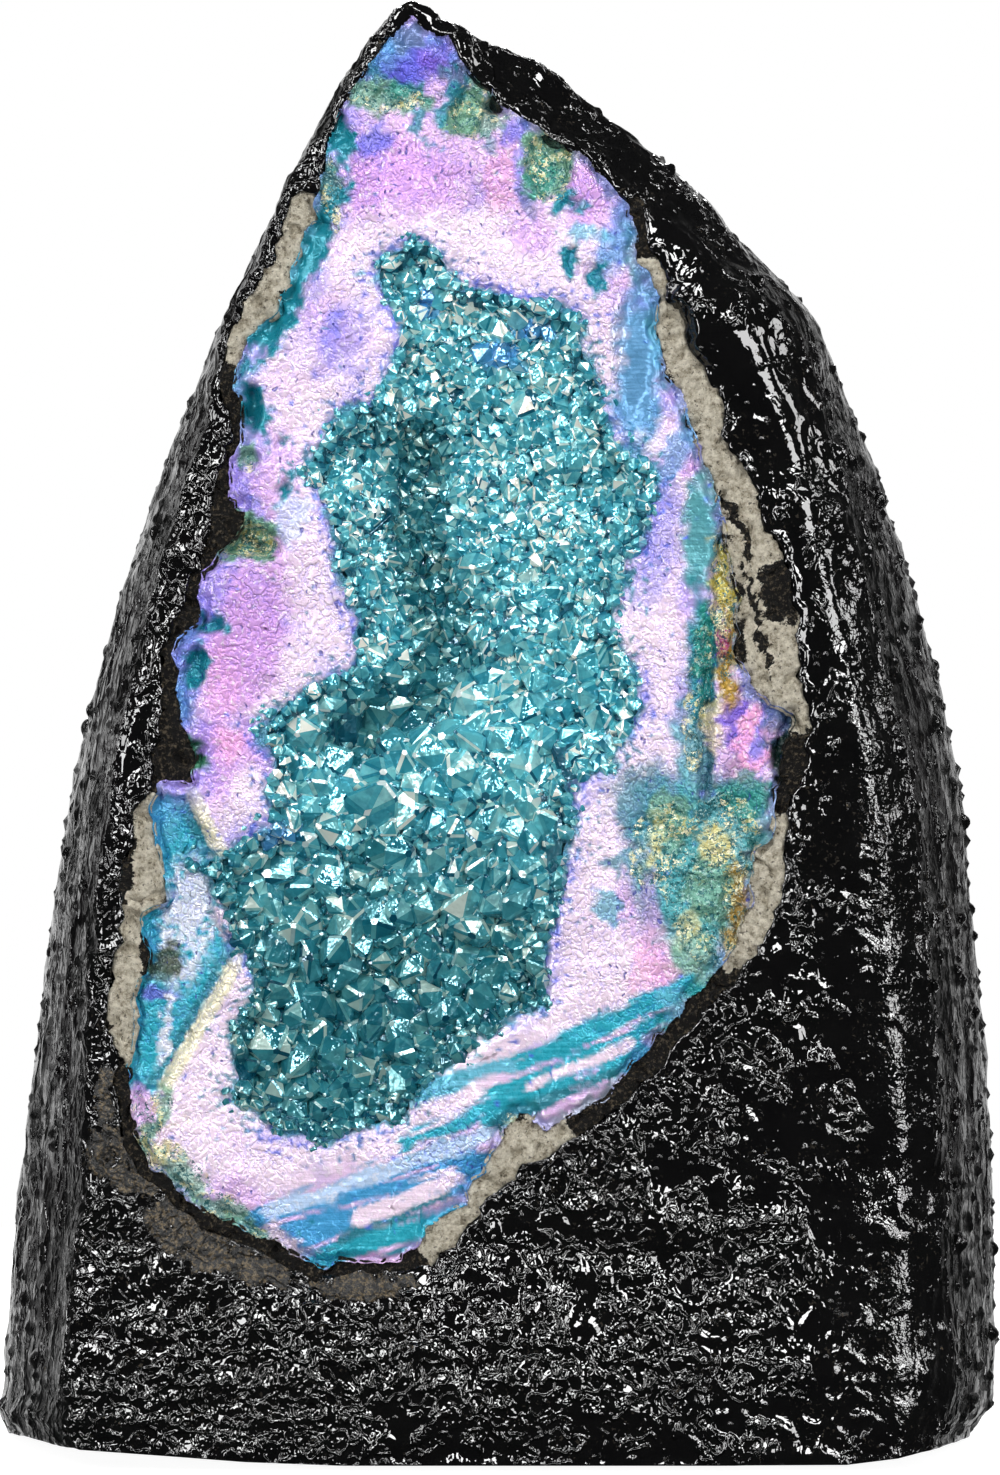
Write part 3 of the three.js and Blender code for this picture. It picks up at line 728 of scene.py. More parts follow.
# Sharper patches over the washes, in the same form. The dark green and dark teal ones, in the deepest and
# narrowest hollows, are painted shade.
PATCHES = (
    (-9.9, 157.4, 2.2, 1.8, 0, STEEL, 0.8), (-5.2, 152.2, 1.9, 1.7, -30, STEEL, 0.85),
    (-0.9, 148, 1.9, 1.9, 0, MOSS, 0.8), (3.3, 139, 0.9, 1.9, 0, STEEL, 0.6),
    (-14.2, 152.6, 0.7, 3.4, -22, DEEP_TEAL, 0.7), (-12.5, 150.2, 4.8, 1.5, 5, MOSS, 0.9),
    (-10.5, 151, 2.4, 1, 5, SEA_GREEN, 0.8), (-9.2, 148.2, 0.7, 2.6, -20, TEAL, 0.9),
    (-18.2, 146.5, 1.8, 4.6, -12, TEAL, 1), (-18.8, 139, 1, 4.5, -6, GREEN, 0.7),
    (-3.6, 149, 2.4, 3.6, 10, MOSS, 1), (-5.6, 149.5, 1, 3.4, 10, TEAL, 0.9),
    (5.4, 142.8, 2.6, 3.8, -10, MOSS, 1), (4.6, 141.4, 1.2, 2.2, -10, SEA_GREEN, 0.8),
    (7.7, 138.5, 1.8, 1.2, 0, TEAL, 1), (8, 132.5, 1, 1.9, 0, TEAL, 1),
    (10.6, 130.4, 1.3, 1.5, 0, TEAL, 1), (9.6, 135.4, 1.6, 1, 0, CYAN, 0.8),
    (-22.3, 130.5, 1.7, 11.5, 27, TEAL, 1), (-25.2, 128, 0.9, 9, 27, CYAN, 0.9),
    (-27.3, 116, 1.6, 3.2, 0, TEAL, 1), (-27.4, 110.4, 1.3, 1.2, 0, MOSS, 0.9),
    (-24, 107, 0.6, 1.7, 15, TEAL, 1), (-24.2, 112.4, 1.2, 0.5, 0, TEAL, 1),
    (-28.4, 101.6, 4, 2.4, 8, MOSS, 1), (-27.2, 101, 2, 0.4, 10, DARK_GREEN, 0.9),
    (-23, 103.5, 2, 3, 0, MIST, 0.6), (-32, 92, 2, 1, 0, TEAL, 1), (-33.5, 87.5, 1.2, 2.5, 0, TEAL, 1),
    (-34.6, 77.6, 2.2, 2, 0, GREEN, 1), (22.6, 90, 1.1, 6, 3, SEA_GREEN, 0.9),
    (22.9, 80, 0.5, 11, 3, DARK_TEAL, 0.8), (24.9, 97.5, 1.2, 4.8, -3, GOLD, 1),
    (25.2, 88, 1, 5.5, -3, AMBER, 1), (24.4, 90.3, 0.7, 1.4, 0, MAGENTA, 0.9),
    (23.8, 82, 0.7, 4, 0, STRAW, 0.7), (27.4, 78.8, 2.8, 4.4, 20, PINK, 0.9),
    (28.8, 80.2, 0.9, 3, 15, PERIWINKLE, 0.9), (25.2, 80.5, 0.9, 3, 10, VIOLET, 0.9),
    (26.8, 73, 2.6, 3, 20, SEA_GREEN, 0.8), (32, 78, 1.9, 5.4, 5, DARK_GREEN, 1),
    (18.6, 70.5, 2.4, 3, 20, MOSS, 0.8), (23.4, 63.5, 2.6, 5, -10, MOSS, 0.8),
    (24.2, 68.2, 2.2, 1.8, 10, STRAW, 0.9), (16.8, 67.8, 1.1, 3, 10, STRAW, 0.8),
    (20.6, 58.5, 1.4, 2.2, 0, STRAW, 0.6), (26, 61, 1.1, 5.4, 0, AMBER, 0.9),
    (2.4, 36.2, 2, 1.2, 40, STRAW, 0.8), (-35.2, 32, 4.2, 1.6, 35, MOSS, 0.8),
    (-30.4, 27.8, 3.2, 1.4, 30, MOSS, 0.8), (-36.9, 55.2, 2, 1.4, -20, OLIVE, 0.9),
    (-37.2, 51.6, 1.4, 0.9, -10, VIOLET, 0.7), (-33.9, 62.5, 1.7, 3.6, 20, SNOW, 0.8),
    (-37, 47, 0.6, 3.4, 8, SNOW, 1), (-38.6, 36.6, 1.2, 5, 24, MOSS, 0.9),
    (-26.6, 24.6, 3.6, 0.9, 28, MOSS, 0.9), (-37.2, 34.4, 0.8, 3, 30, STRAW, 0.7),
    (-1.5, 145.4, 1, 0.8, 0, TEAL, 0.6), (-12.6, 129.6, 2.2, 0.5, 20, CYAN, 0.9),
    (-18.2, 125, 0.9, 1.5, 20, BLUE, 0.5), (-20.4, 119.5, 1.1, 0.7, 0, BLUE, 0.6),
    (19, 50.5, 1.6, 2.2, -40, CYAN, 0.6), (12.5, 66.5, 2, 0.9, 0, TEAL, 0.8),
    (12, 61.4, 1.6, 1.6, 0, SKY_TEAL, 0.75), (30.2, 81.8, 1.4, 2.4, 0, STEEL, 0.8),
    (25.2, 76.6, 0.9, 2.2, 0, STEEL, 0.5), (-23.8, 24.6, 2, 1.1, 20, PINK_WHITE, 0.85),
)

# Saw-cut stripes near the foot: both ends, half width, colour.
SAW_ANGLE = math.radians(19)
STRIPES = (
    ((-27, 22.6), (-2, 32.4), 2.2, SKY_BLUE), ((-29, 25.6), (-4, 35), 1.5, SKY_BLUE),
    ((-25, 27.6), (3, 38), 0.9, MIST), ((-20, 22.2), (-5, 27.4), 1.3, SKY_TEAL),
    ((-18, 24.6), (-6, 29.2), 0.6, DEEP_TEAL), ((-15.5, 26.6), (-5, 31.2), 1, PINK_WHITE),
    ((-1, 38.2), (15, 45), 1.3, SKY_TEAL), ((-10, 35.2), (18, 48.8), 1.2, SKY_TEAL),
    ((2, 44.2), (21, 52.2), 1.3, SKY_TEAL), ((0, 37), (16, 44.6), 0.9, DEEP_TEAL),
    ((3, 41.4), (14, 46.2), 0.6, PINK_WHITE), ((-26, 32.6), (-4, 40.6), 1.7, PINK_WHITE),
    ((-4, 42.6), (5, 48.4), 1.2, PINK_WHITE), ((-9, 40.4), (1, 43.6), 0.9, CYAN),
)

# Where the coat is smooth rather than leathery: the teal slopes and the saw-cut stripes.
CALM = (
    (15.2, 122.5, 2.4, 9.5, 3), (22, 101, 1.8, 9, 4), (-23, 130, 1.4, 11, 27), (-27.3, 116, 1.6, 3.2, 0),
    (-18.2, 146.5, 1.8, 4.6, -12), (3, 43, 18, 6, 22), (-12, 27, 14, 6, 18), (-10, 157, 3, 3, 0),
)
COAT_BRIGHTNESS = 0.90


def band_colours(places, outer, inner):
    """The coat's colour at each place, given its distances from the band's two edges."""
    flat = on_plane(places)
    ragged = waves(flat, 2.2, 21) + 0.6 * waves(flat, 0.9, 22)
    fine = waves(flat, 0.75, 46)
    share = smooth(7.5, 2.0, inner + 2.2 * waves(flat, 8, 23) + ragged)
    colour = blend(LAVENDER, PINK_WHITE, 0.4 + 0.6 * share)
    colour = blend(colour, PERIWINKLE, 0.45 * smooth(0.15, 0.6, waves(flat, 6, 24)))
    bent = warped(warped(warped(places, 5, 1.2, 25), 1.7, 0.8, 27), 0.8, 0.4, 47)
    for *shape, tint, strength in WASHES:
        reach = ellipse(bent, *shape) + 0.2 * ragged
        colour = blend(colour, tint, strength * smooth(1.3, 0.6, reach))
    step = loop_distance(bent, LOWER_STEP)
    colour = blend(colour, SKY_TEAL, smooth(-0.2, 0.4, step))
    colour = blend(colour, CYAN, 0.45 * smooth(0.2, 0.6, step) * smooth(-0.1, 0.5, ragged + 0.5 * fine))
    frost = smooth(1.0, 0.6, ellipse(bent, -34.6, 59.5, 4.0, 9, 4))
    frost = frost * smooth(-0.45, 0.15, fine - 0.4 * ragged)
    colour = blend(colour, SNOW, 0.9 * frost)
    across = turned(places, SAW_ANGLE)
    streaks = waves(on_plane(across / (9, 0.8)), 1, 49) + 0.6 * waves(on_plane(across / (5, 0.4)), 1, 51)
    sawn = warped(places, 7, 0.6, 48)
    for start, end, half_width, tint in STRIPES:
        away = line_distance(sawn, (start, end)) / half_width + 0.75 * streaks
        colour = blend(colour, tint, smooth(1.25, 0.65, away + 0.15 * ragged))
    below = loop_distance(places, LOWER_STEP)
    slope = smooth(0.0, 0.4, below) * smooth(1.9, 1.4, below)
    for line in LEDGES:
        beside = smooth(2.6, 1.8, line_distance(places, line))
        colour = blend(colour, DEEP_TEAL, 0.9 * (slope * beside))
        crest = line_distance(places - (0.25, 0), line) + 0.15 * fine
        colour = blend(colour, CREAM, smooth(0.95, 0.65, crest))
    edge = outer + 0.8 * ragged + 0.4 * fine
    patchy = smooth(-0.35, 0.35, waves(flat, 9, 29))
    margin = smooth(3.4, 1.2, edge) * smooth(0, -14, places[:, 0]) * smooth(66, 76, places[:, 1])
    colour = blend(colour, blend(PERIWINKLE, SLATE_BLUE, patchy), 0.65 * margin)
    rim = smooth(1.5, 0.4, edge)
    colour = blend(colour, BLUE_TEAL, 0.6 * patchy * rim)
    colour = blend(colour, SEA_GREEN, 0.6 * (1 - patchy) * rim * smooth(-10, 10, places[:, 0]))
    close = smooth(4.0, 0.3, inner)
    specks = smooth(0.62, 0.82, fine + 0.3 * ragged + 0.55 * close)
    colour = blend(colour, blend(BLUE, TEAL, patchy), 0.85 * specks)
    colour = blend(colour, PERIWINKLE, 0.5 * smooth(2.2, 0.6, inner + ragged) * (1 - patchy))
    colour = blend(colour, TEAL, 0.9 * smooth(0.7, 0.1, inner + 0.5 * ragged + 0.3 * fine))
    for *shape, tint, strength in PATCHES:
        edge = (ellipse(bent, *shape) - 1) * min(shape[2:4]) + 0.5 * ragged + 0.4 * fine
        colour = blend(colour, tint, strength * smooth(0.3, -0.3, edge))
    return colour


def turned(places, angle):
    """Places turned back by an angle, so that a line at that angle runs along the first axis."""
    along = places[:, 0] * math.cos(angle) + places[:, 1] * math.sin(angle)
    return np.stack([along, places[:, 1] * math.cos(angle) - places[:, 0] * math.sin(angle)], axis=1)


def blend(colour, tint, share):
    """Each place's colour, moved towards a tint by a share."""
    return colour + np.subtract(tint, colour) * np.reshape(share, (-1, 1))


def band_relief(points, places, outer, inner, grain):
    """How far the band's front stands out, in millimetres."""
    bent = warped(places, 1.8, 0.5, 31)
    relief = 0.3 * waves(points, 8, 32) + 0.14 * waves(points, 3, 33) - 0.12
    relief += 0.07 * waves(points, 1.1, 34)
    for *shape, depth in HOLLOWS:
        relief -= depth * smooth(1.15, 0.55, ellipse(bent, *shape))
    relief -= 1.2 * smooth(-0.2, 0.6, loop_distance(bent, LOWER_STEP))
    relief -= 1.0 * smooth(1.6, 0, outer + 0.6 * waves(points, 2, 35)) ** 2
    relief -= 0.7 * smooth(1.4, 0, inner + 0.5 * waves(points, 1.6, 36)) ** 2
    rough = 0.5 * waves(points, 1.5, 37) + domes(points, 1.3, 0.55, 0.7, 38) - 0.35
    return relief + rough * grain


def edge_distances(points):
    """How far each point of the band lies from its outer and from its inner edge."""
    places = face_places(points)
    return loop_distance(places, BAND_EDGE), -loop_distance(places, DRUSE_EDGE)


def quartz_band():
    """The flat cut band of coated quartz around the druse."""
    piece = remeshed("quartz_band", "quartz_rim", BAND_VOXEL)
    points, normals = surface_of(piece)
    wander = drift(points)
    gap = nearness(points, "cement_jacket", "mortar_seam", "crystal_lining")
    places = face_places(points) + wander[:, ::2]
    outer, inner = edge_distances(points)
    grain = covered(warped(places, 2, 0.6, 39), GRAINY)
    front = smooth(0.5, 0.9, -normals[:, 1]) * smooth(1.5, 0.5, face_depth(points))
    moved = points + closing(normals, gap) + wander
    moved[:, 1] -= band_relief(points, places, outer, inner, grain) * front
    move_points(piece, moved)
    thin_out(piece, BAND_TRIANGLES, keep=0.1 + 0.9 * smooth(6, 3, face_depth(points)))
    points = surface_of(piece)[0]
    places = face_places(points)
    colours = band_colours(places, *edge_distances(points - drift(points)))
    paint(piece, "tint", COAT_BRIGHTNESS * colours)
    paint(piece, "grain", covered(warped(places, 2, 0.6, 39), GRAINY))
    paint(piece, "calm", covered(warped(places, 2, 0.6, 40), CALM))
    return piece


def band_finish():
    shader = Shader("pearl_coated_quartz", ior=1.45, specular_ior_level=0.2)
    tint, grain, calm = shader.stored("tint", "Color"), shader.stored("grain"), shader.stored("calm")
    leather = shader.between(shader.noise(9, 1), 0.36, 0.6, 0.45, 1) * (1 - calm * 0.85)
    away = shader.math("ABSOLUTE", shader.noise(1.0, 2, 0.55) - 0.5)
    crease = shader.between(away, 0.0, 0.04, 1, 0) * leather
    swell = shader.noise(0.55, 1.5)
    swayed = shader.swayed(shader.place((1, 1, 0.6)), 0.8, 1)
    pits = shader.between(shader.pebbles(1.15, swayed), 0.09, 0.20, 1, 0)
    pits = pits * shader.between(shader.noise(4, 3), 0.44, 0.54) * (1 - calm)
    tint_red = shader.node("SeparateColor", {"Color": tint})
    # Partly painted shade: the tint turns darker and bluer in the creases and low spots of the leathery
    # bump, partly the coat's own bluer colour there.
    shaded_bluer_tint = shader.vector("MULTIPLY", tint, (0.52, 0.54, 0.95))
    colour = shader.mix(crease * 0.6, tint, shaded_bluer_tint)
    colour = shader.mix(shader.between(swell, 0.44, 0.34) * (1 - calm) * 0.35, colour, shaded_bluer_tint)
    # Painted highlight: the crests of the bump are painted paler where the tint is pink.
    painted_crest_highlight = shader.between(swell, 0.56, 0.68) * shader.between(tint_red, 0.15, 0.5)
    colour = shader.mix(painted_crest_highlight * 0.4, colour, (1.0, 0.95, 1.0))
    # Partly painted shade: the pits are painted dark blue, partly the coat's blue, partly the shade inside
    # them.
    colour = shader.mix(pits * 0.8, colour, srgb(60, 70, 165))
    flecks = shader.pebbles(0.36, shader.swayed(shader.place(), 0.3, 1), output=1)
    pick = shader.node("SeparateColor", {"Color": flecks})
    grain = shader.between(grain + shader.noise(0.9, 2) * 0.9 - 0.45, 0.35, 0.6)
    grains = shader.mix(shader.between(pick, 0.12, 0.40), srgb(20, 92, 98), tint)
    sparkle = shader.between(shader.noise(0.34, 2, 0.7), 0.54, 0.66)
    grains = shader.mix(sparkle * 0.55, grains, srgb(196, 230, 222))
    clump = shader.between(shader.noise(2.6, 2), 0.44, 0.58)
    grains = shader.mix(shader.between(pick, 0.60, 0.74) * clump * 0.7, grains, srgb(214, 196, 112))
    grains = shader.mix(shader.between(pick, 0.78, 0.90) * clump * 0.9, grains, srgb(250, 244, 210))
    colour = shader.mix(grain * 0.9, colour, grains)
    strokes = shader.node("Mapping", {"Vector": shader.place(), "Rotation": (0, SAW_ANGLE, 0),
                                      "Scale": (0.12, 1, 1)})
    strokes = shader.noise(0.5, 2, 0.5, place=strokes)
    pillow = shader.between(away, 0.0, 0.12) * leather
    height = pillow * 0.5 + swell * 0.35 * (1 - calm * 0.6) - pits * 0.4 + strokes * calm * 0.4
    height = height + shader.noise(0.5, 2) * grain * 0.9
    rough = shader.between(swell, 0.35, 0.65, 0.34, 0.24) + grain * 0.08
    normal = shader.bump(height, 0.24)
    return shader.finish(Base_Color=colour, Roughness=rough, Metallic=0.1, Normal=normal)


# ---- druse

# The deep furrow's line, and bowls as x, height, radius, drop.
GROOVE = ((-9, 112), (-9.3, 101), (-8.2, 96), (-5.5, 89), (-10.5, 84), (-16.5, 80.5))
BOWLS = ((-13, 53, 3.0, 2.2), (-1, 56, 2.6, 1.4), (-15, 65, 2.5, 1.2))

# The largest points as x, height, radius, then the others as a radius and the most of that size.
BIG_POINTS = ((-14, 73, 2.9), (3, 117, 2.1), (-2.5, 99, 2.0), (8, 80, 1.9), (-2, 68, 2.2),
              (-17, 47, 2.5), (-11, 42, 2.3), (-22.5, 44, 2.3), (-6, 49.5, 2.1), (-21, 60, 2.2))
POINT_SIZES = ((2.5, 120), (1.6, 280), (1.0, 800), (0.68, 2100), (0.44, 4200))
POINT_SPACING = 0.57                 # least distance between two points, as a share of their radii
TRIES = 14_000                       # seats tried for each size of point
FRINGE = 420                         # tiny points that stray onto the band
SHAPES = 8                           # different shapes of large points, and as many of small ones
SHOULDER = 1.9                       # height of a point's shoulder above its root, in radii
BEVEL = 0.10                         # width of a large point's edges, in radii
BEVELLED = 0.85                      # smallest radius that gets its edges bevelled
NARROW = 0.12                        # largest area of a face along an edge, at radius 1

# Where the points look bluer: x, height, half width, half height, lean.
BLUE_POINTS = ((0, 122, 2.6, 1.8, 0), (3.5, 125, 2.6, 1.2, 0), (-24, 69, 3, 1.2, 0), (-8, 128, 1.5, 2, 0))


def druse_depth(places, inside):
    """How far the bed under the points lies behind the cut face."""
    flat = on_plane(places)
    groove = np.exp(-(line_distance(warped(places, 6, 1.5, 41), GROOVE) / 4.8) ** 2)
    depth = 1.0 + 4.6 * (1 - np.exp(-np.maximum(inside, 0) / 4.5))
    depth += 4.6 * groove * smooth(0, 9, inside)
    for x, height, radius, drop in BOWLS:
        depth += drop * np.exp(-(np.linalg.norm(places - (x, height), axis=1) / radius) ** 2)
    depth += (1.4 * waves(flat, 9, 42) + 0.9 * waves(flat, 4.2, 43)) * smooth(0, 4, inside)
    return depth


def druse_bed():
    """The hollow's floor, which the points stand on."""
    piece = remeshed("crystal_lining", "druse", DRUSE_VOXEL)
    points, normals = surface_of(piece)
    inside = loop_distance(face_places(points), DRUSE_EDGE)
    gap = nearness(points, "quartz_band")
    front = (normals[:, 1] < 0.1) & (gap > 0.7)
    target = druse_depth(face_places(points), inside)
    moved = points + closing(normals, gap) + drift(points)
    moved[:, 1] += np.where(front, target - face_depth(points), 0)
    move_points(piece, moved)
    return piece


def roughen_bed(piece):
    """Breaks the bed between the points up into fine crystals."""
    points, normals = surface_of(piece)
    near, number = cells(points, 1.5, 44)
    open_side = smooth(0.0, 0.3, -normals[:, 1])
    relief = (0.55 * np.clip(0.75 - near, 0, 1) * (0.5 + number) - 0.15) * open_side
    move_points(piece, points + normals * relief[:, None])
    thin_out(piece, DRUSE_TRIANGLES, keep=0.1 + 0.9 * open_side)


def point_template(seed, bevelled):
    """A quartz point of radius 1 standing on its root, with uneven faces."""
    chance = np.random.default_rng(seed)
    shape = bmesh.new()
    bmesh.ops.create_circle(shape, segments=5 + seed % 2, radius=1, cap_ends=True)
    grown = bmesh.ops.extrude_face_region(shape, geom=shape.faces[:])["geom"]
    shoulder = [item for item in grown if isinstance(item, bmesh.types.BMVert)]
    top = [item for item in grown if isinstance(item, bmesh.types.BMFace)]
    bmesh.ops.translate(shape, verts=shoulder, vec=(0, 0, SHOULDER))
    tip = bmesh.ops.poke(shape, faces=top)["verts"]
    bmesh.ops.translate(shape, verts=tip, vec=(*chance.uniform(-0.45, 0.45, 2), chance.uniform(0.5, 0.95)))
    for corner in shoulder:
        corner.co.z += chance.uniform(-0.34, 0.26)
        corner.co.xy *= chance.uniform(0.78, 1.16)
    bmesh.ops.recalc_face_normals(shape, faces=shape.faces)
    if bevelled:
        sharp = [edge for edge in shape.edges if max(v.co.z for v in edge.verts) > 1]
        bmesh.ops.bevel(shape, geom=sharp, offset=BEVEL, offset_type="OFFSET", segments=1, profile=0.5,
                        affect="EDGES", material=-1)
    return mesh_from(shape, "point")


def seat_points(piece, chance):
    """Places, outward directions and radii of the points over the druse's open side."""
    points, normals = surface_of(piece)
    inside = loop_distance(face_places(points - drift(points)), DRUSE_EDGE)
    able = np.flatnonzero((normals[:, 1] < -0.05) & (inside > 0.1))
    places = face_places(points)
    widest = 1.4 + 1.2 * smooth(96, 80, places[:, 1]) - 0.9 * smooth(0.75, 0.45, -normals[:, 1])
    widest = np.minimum(widest, 0.8 + 0.5 * inside)
    seats = []
    for x, height, radius in BIG_POINTS:
        index = able[np.argmin(np.linalg.norm(places[able] - (x, height), axis=1))]
        seats.append((index, radius))
    for size, most in POINT_SIZES:
        kept = 0
        for index in chance.permutation(able)[:TRIES]:
            if kept == most:
                break
            radius = size * chance.uniform(0.78, 1.2)
            if radius >= widest[index]:
                continue
            taken = np.array([seat[0] for seat in seats])
            reach = POINT_SPACING * (radius + np.array([seat[1] for seat in seats]))
            if np.all(np.linalg.norm(points[taken] - points[index], axis=1) > reach):
                seats.append((index, radius))
                kept += 1
    return [(points[index], normals[index], radius) for index, radius in seats]


def fringe_seats(chance):
    """Seats of the tiny points that stray from the druse's edge onto the band."""
    spots = DRUSE_EDGE[chance.integers(len(DRUSE_EDGE), size=FRINGE)] + chance.normal(0, 0.9, (FRINGE, 2))
    spots = spots[loop_distance(spots, DRUSE_EDGE) < 0.3]
    points = np.stack([spots[:, 0], np.zeros(len(spots)), spots[:, 1] + FACE_RISE], axis=1)
    points[:, 1] -= face_depth(points) - 0.45
    points += drift(points)
    return [(point, FACE_NORMAL, chance.uniform(0.28, 0.55)) for point in points]


def druse():
    """The bed with all its points, joined in one piece."""
    piece = druse_bed()
    chance = np.random.default_rng(7)
    templates = [point_template(seed, seed < SHAPES) for seed in range(2 * SHAPES)]
    seats = seat_points(piece, chance) + fringe_seats(chance)
    roughen_bed(piece)
    bed_faces, bed_points = len(piece.data.polygons), len(piece.data.vertices)
    shape = bmesh.new()
    shape.from_mesh(piece.data)
    picked = chance.integers(SHAPES, size=len(seats))
    picked += np.where([radius < BEVELLED for seat, normal, radius in seats], SHAPES, 0)
    for (seat, normal, radius), pick in zip(seats, picked):
        axis = Vector(normal * 0.7 + np.array((0, -0.6, 0)) + chance.uniform(-0.7, 0.7, 3)).normalized()
        turn = axis.to_track_quat("Z", "Y") @ Quaternion((0, 0, 1), chance.uniform(0, math.tau))
        size = radius * Vector(chance.uniform((0.75, 0.75, 0.85), (1.25, 1.25, 1.2)))
        foot = Vector(seat) - axis * size.z * chance.uniform(1.4, 1.85)
        point = templates[pick].copy()
        point.transform(Matrix.LocRotScale(foot * MM, turn, size * MM))
        shape.from_mesh(point)
        bpy.data.meshes.remove(point)
    shape.to_mesh(piece.data)
    shape.free()
    places = face_places(np.array([seat for seat, normal, radius in seats]))
    shade = 0.95 * smooth(86, 50, places[:, 1]) + 1.4 * smooth(5.2, 1.2, line_distance(places, GROOVE))
    shade += 0.8 * covered(places, [(x, height, radius, radius, 0) for x, height, radius, drop in BOWLS])
    faces = [len(templates[pick].polygons) for pick in picked]
    for name, bed, values in (("crystal", 0.3, chance.random(len(seats))),
                              ("blue", 0, covered(places, BLUE_POINTS)), ("shade", 1, shade)):
        values = np.concatenate([np.full(bed_faces, bed), np.repeat(values, faces)])
        paint(piece, name, values, "FACE")
    paint(piece, "facet", chance.random(len(piece.data.polygons)), "FACE")
    for name, count, share, domain in (("edge", bed_faces, edge_share, "FACE"),
                                       ("tip", bed_points, tip_share, "POINT")):
        shares = [share(template) for template in templates]
        values = np.concatenate([np.zeros(count)] + [shares[pick] for pick in picked])
        paint(piece, name, values, domain)
    return piece


def tip_share(template):
    """0 at a point's shoulder and below, 1 at its tip."""
    height = np.array([corner.co.z for corner in template.vertices])
    return smooth(SHOULDER - 0.8, height.max(), height)


def edge_share(template):
    """1 for the narrow faces along a point's edges."""
    return np.array([float(face.area < NARROW) for face in template.polygons])


def druse_finish():
    shader = Shader("teal_coated_druse", ior=1.7)
    crystal, facet = shader.stored("crystal"), shader.stored("facet")
    tip, edge, shade = shader.stored("tip"), shader.stored("edge"), shader.stored("shade")
    pick = crystal * 0.3 + facet * 0.7
    # The ramp's top stops paint the highest-numbered facets near white, as painted glints.
    colour = shader.node("ValToRGB", {"Fac": pick}, stops=(
        (0.06, srgb(34, 138, 160)), (0.26, srgb(68, 170, 188)), (0.50, srgb(96, 192, 204)),
        (0.68, srgb(132, 208, 212)), (0.79, srgb(178, 228, 224)), (0.84, srgb(248, 254, 250))))
    colour = shader.mix(shader.stored("blue") * 0.45, colour, srgb(86, 130, 240))
    veil = shader.noise(1.3, 3, 0.6)
    colour = shader.mix(shader.between(veil, 0.45, 0.65) * 0.4, colour, srgb(28, 116, 140))
    # Painted shade: each point darkens towards its root, where it meets its neighbours and the bed.
    painted_root_shade = shader.vector("MULTIPLY", colour, (0.10, 0.40, 0.54))
    colour = shader.mix(shader.between(tip, 0.0, 0.45), painted_root_shade, colour)
    # Painted highlight and shade: the narrow faces along the points' edges are painted near white or dark
    # teal, by each face's random number.
    rim = shader.mix(shader.between(facet, 0.40, 0.45), srgb(8, 84, 112), srgb(250, 255, 252))
    colour = shader.mix(edge * 0.85, colour, rim)
    # Painted glints: the facets with the highest numbers are painted near white.
    colour = shader.mix(shader.between(pick, 0.80, 0.82), colour, srgb(255, 252, 240))
    dim = shader.vector("MULTIPLY", colour, (0.30, 0.47, 0.48))
    colour = shader.mix(shader.between(shade, 0, 1.1), colour, dim)
    rough = shader.between(facet, 0, 1, 0.08, 0.30)
    normal = shader.bump(shader.noise(0.7, 1, 0.5), 0.16)
    return shader.finish(Base_Color=colour, Roughness=rough, Metallic=0.25, Normal=normal)


# ---- studio

LAMP_TARGET = Vector((0, -0.03, 0.08))


def area_light(name, place, size, power, gloss):
    """A lamp that only shows in glossy surfaces, or one that only lights matt ones."""
    data = bpy.data.lights.new(name, "AREA")
    data.size = size
    data.energy = power
    lamp = add_object(name, data)
    lamp.location = place
    lamp.rotation_euler = (LAMP_TARGET - lamp.location).to_track_quat("-Z", "Y").to_euler()
    lamp.visible_diffuse = not gloss
    lamp.visible_glossy = gloss


# The surround's brightness from straight in front of the part to straight behind it.
SURROUND = ((0, 0), (0.1, 0.015), (0.6, 0.02), (0.85, 0.05), (0.94, 0.26), (1, 1))
SURROUND_ON_MATT = 0.32
BACKGROUND = 1.0


def studio_world():
    """A surround that glossy surfaces see, with even levels for matt ones and for the background."""
    world = bpy.data.worlds.new("studio")
    bpy.context.scene.world = world
    sky = Nodes(world)
    along = sky.node("SeparateXYZ", {0: sky.node("TexCoord", output="Generated")}, output=1)
    stops = [(place, (level,) * 3) for place, level in SURROUND]
    strength = sky.node("ValToRGB", {0: sky.node("MapRange", {0: along, 1: -1})}, stops=stops)
    for rays, level in (("Is Diffuse Ray", SURROUND_ON_MATT), ("Is Camera Ray", BACKGROUND)):
        strength = sky.node("Mix", {0: sky.node("LightPath", output=rays), 2: strength, 3: level})
    background = sky.tree.nodes["Background"]
    sky.feed(background.inputs["Strength"], strength)
    sky.feed(background.inputs["Color"], (1, 1, 1))


CAMERA_DISTANCE = 0.800
CAMERA_HEIGHT = 0.0806
FRAME_PLANE = -0.036                 # y that the distance counts from, close to the cut face
FRAME_HEIGHT = 0.16225               # what the frame's height takes in on that plane
SENSOR = 36.0                        # height of the camera's sensor, in its own millimetres


def camera():
    data = bpy.data.cameras.new("camera")
    data.sensor_fit = "VERTICAL"
    data.sensor_height = SENSOR
    data.lens = SENSOR * CAMERA_DISTANCE / FRAME_HEIGHT
    data.clip_start = 0.01
    lens = add_object("camera", data)
    lens.location = (0, FRAME_PLANE - CAMERA_DISTANCE, CAMERA_HEIGHT)
    lens.rotation_euler = (math.pi / 2, 0, 0)
    bpy.context.scene.camera = lens


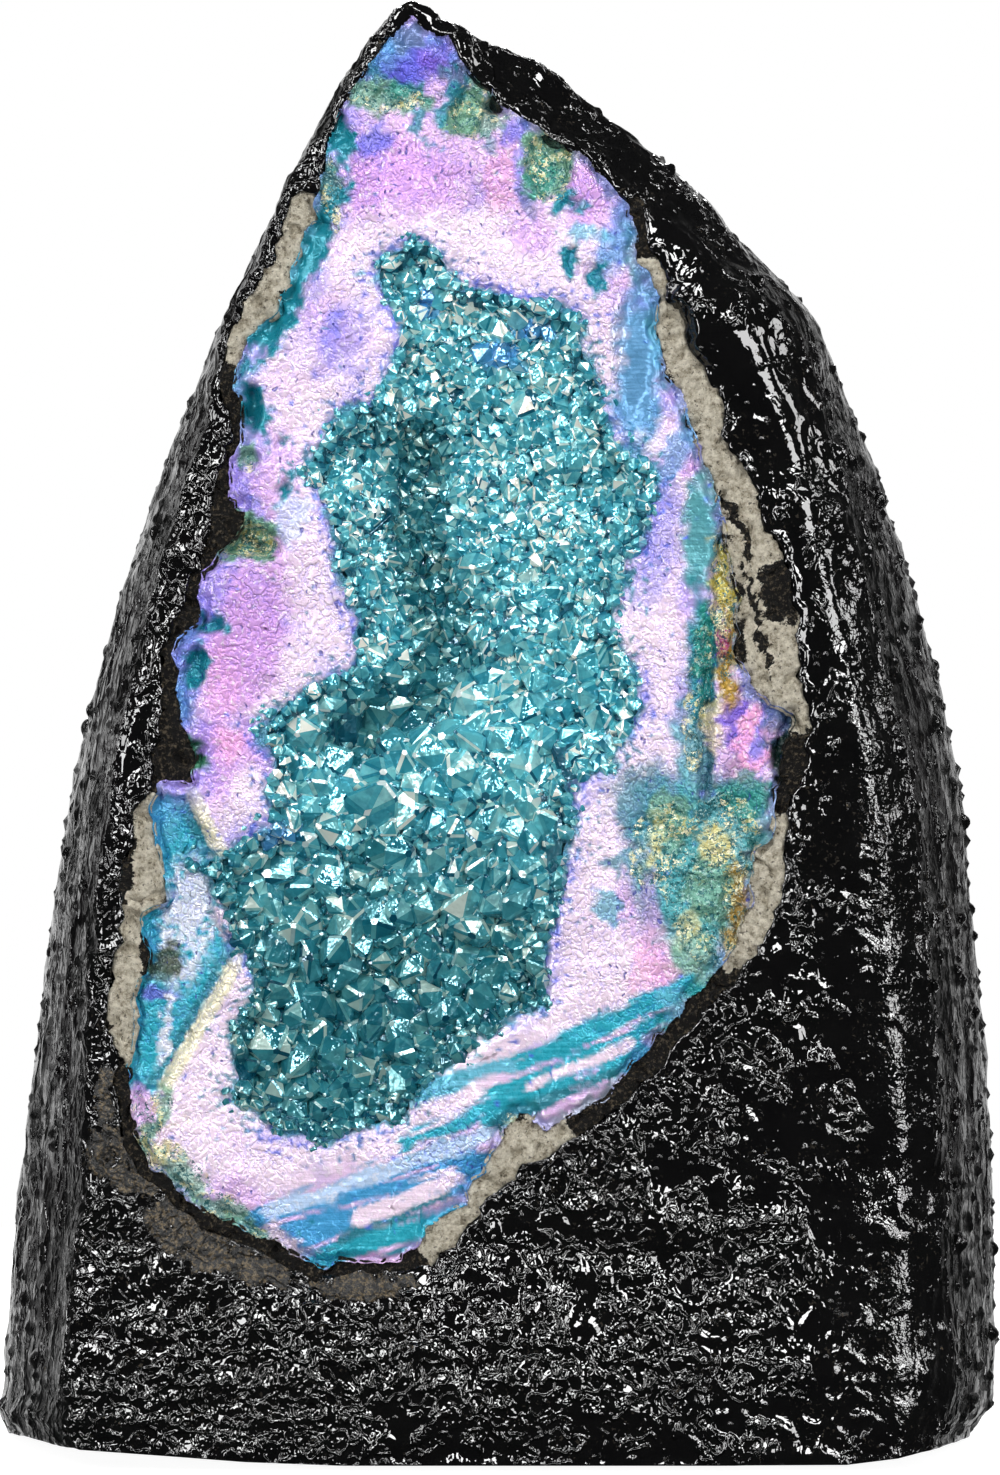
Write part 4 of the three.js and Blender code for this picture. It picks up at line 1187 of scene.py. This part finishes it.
FLOOR_REACH = 0.36                   # from the floor's middle to its sides


def floor():
    shape = bmesh.new()
    bmesh.ops.create_grid(shape, x_segments=1, y_segments=1, size=FLOOR_REACH)
    ground = add_object("floor", mesh_from(shape, "floor"))
    shader = Shader("pale_floor", roughness=0.6, base_color=(0.3, 0.3, 0.3, 1), emission_strength=0.95)
    ground.data.materials.append(shader.finish(Emission_Color=(1.0, 1.0, 1.0)))
    ground.visible_glossy = False
    ground.visible_diffuse = False


FILL_SIZE = 0.27                     # in metres, as all of the studio's measures are
GLOSS_SIZE = 0.30
BEHIND = 1.06                        # a fill lamp stands this much farther off than its gloss lamp

# Where each pair of lamps stands, and its power in watts for matt and for glossy surfaces.
LAMPS = (
    ("high_left", (-0.42, -0.95, 0.52), 2.6, 8.0), ("high_right", (0.42, -0.95, 0.52), 2.6, 8.0),
    ("low_left", (-0.62, -0.85, 0.16), 1.7, 5.6), ("low_right", (0.62, -0.85, 0.16), 1.7, 4.4),
    ("top", (0.0, -0.62, 0.95), 2.6, 8.0), ("side_left", (-1.0, -0.20, 0.45), 1.2, 3.2),
    ("side_right", (1.0, -0.20, 0.45), 1.3, 3.2), ("back", (0.0, 1.0, 0.6), 3.0, 4.0),
)


def studio():
    studio_world()
    camera()
    floor()
    for name, place, matt, glossy in LAMPS:
        area_light(name + "_fill", Vector(place) * BEHIND, FILL_SIZE, matt, False)
        area_light(name + "_gloss", place, GLOSS_SIZE, glossy, True)
    bpy.context.scene.view_settings.view_transform = "Standard"


# ---- assembly

def install(piece, node, material, flat=False):
    """Gives a finished piece its material, and puts it in the place of its CAD node."""
    piece.data.materials.clear()
    piece.data.materials.append(material)
    piece.data.polygons.foreach_set("use_smooth", [not flat] * len(piece.data.polygons))
    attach(piece, "root")
    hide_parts(node)


studio()
install(cement_body(), "cement_jacket", cement_paint())
install(mortar_seam(), "mortar_seam", mortar_finish())
install(quartz_band(), "quartz_band", band_finish())
install(druse(), "crystal_lining", druse_finish(), flat=True)
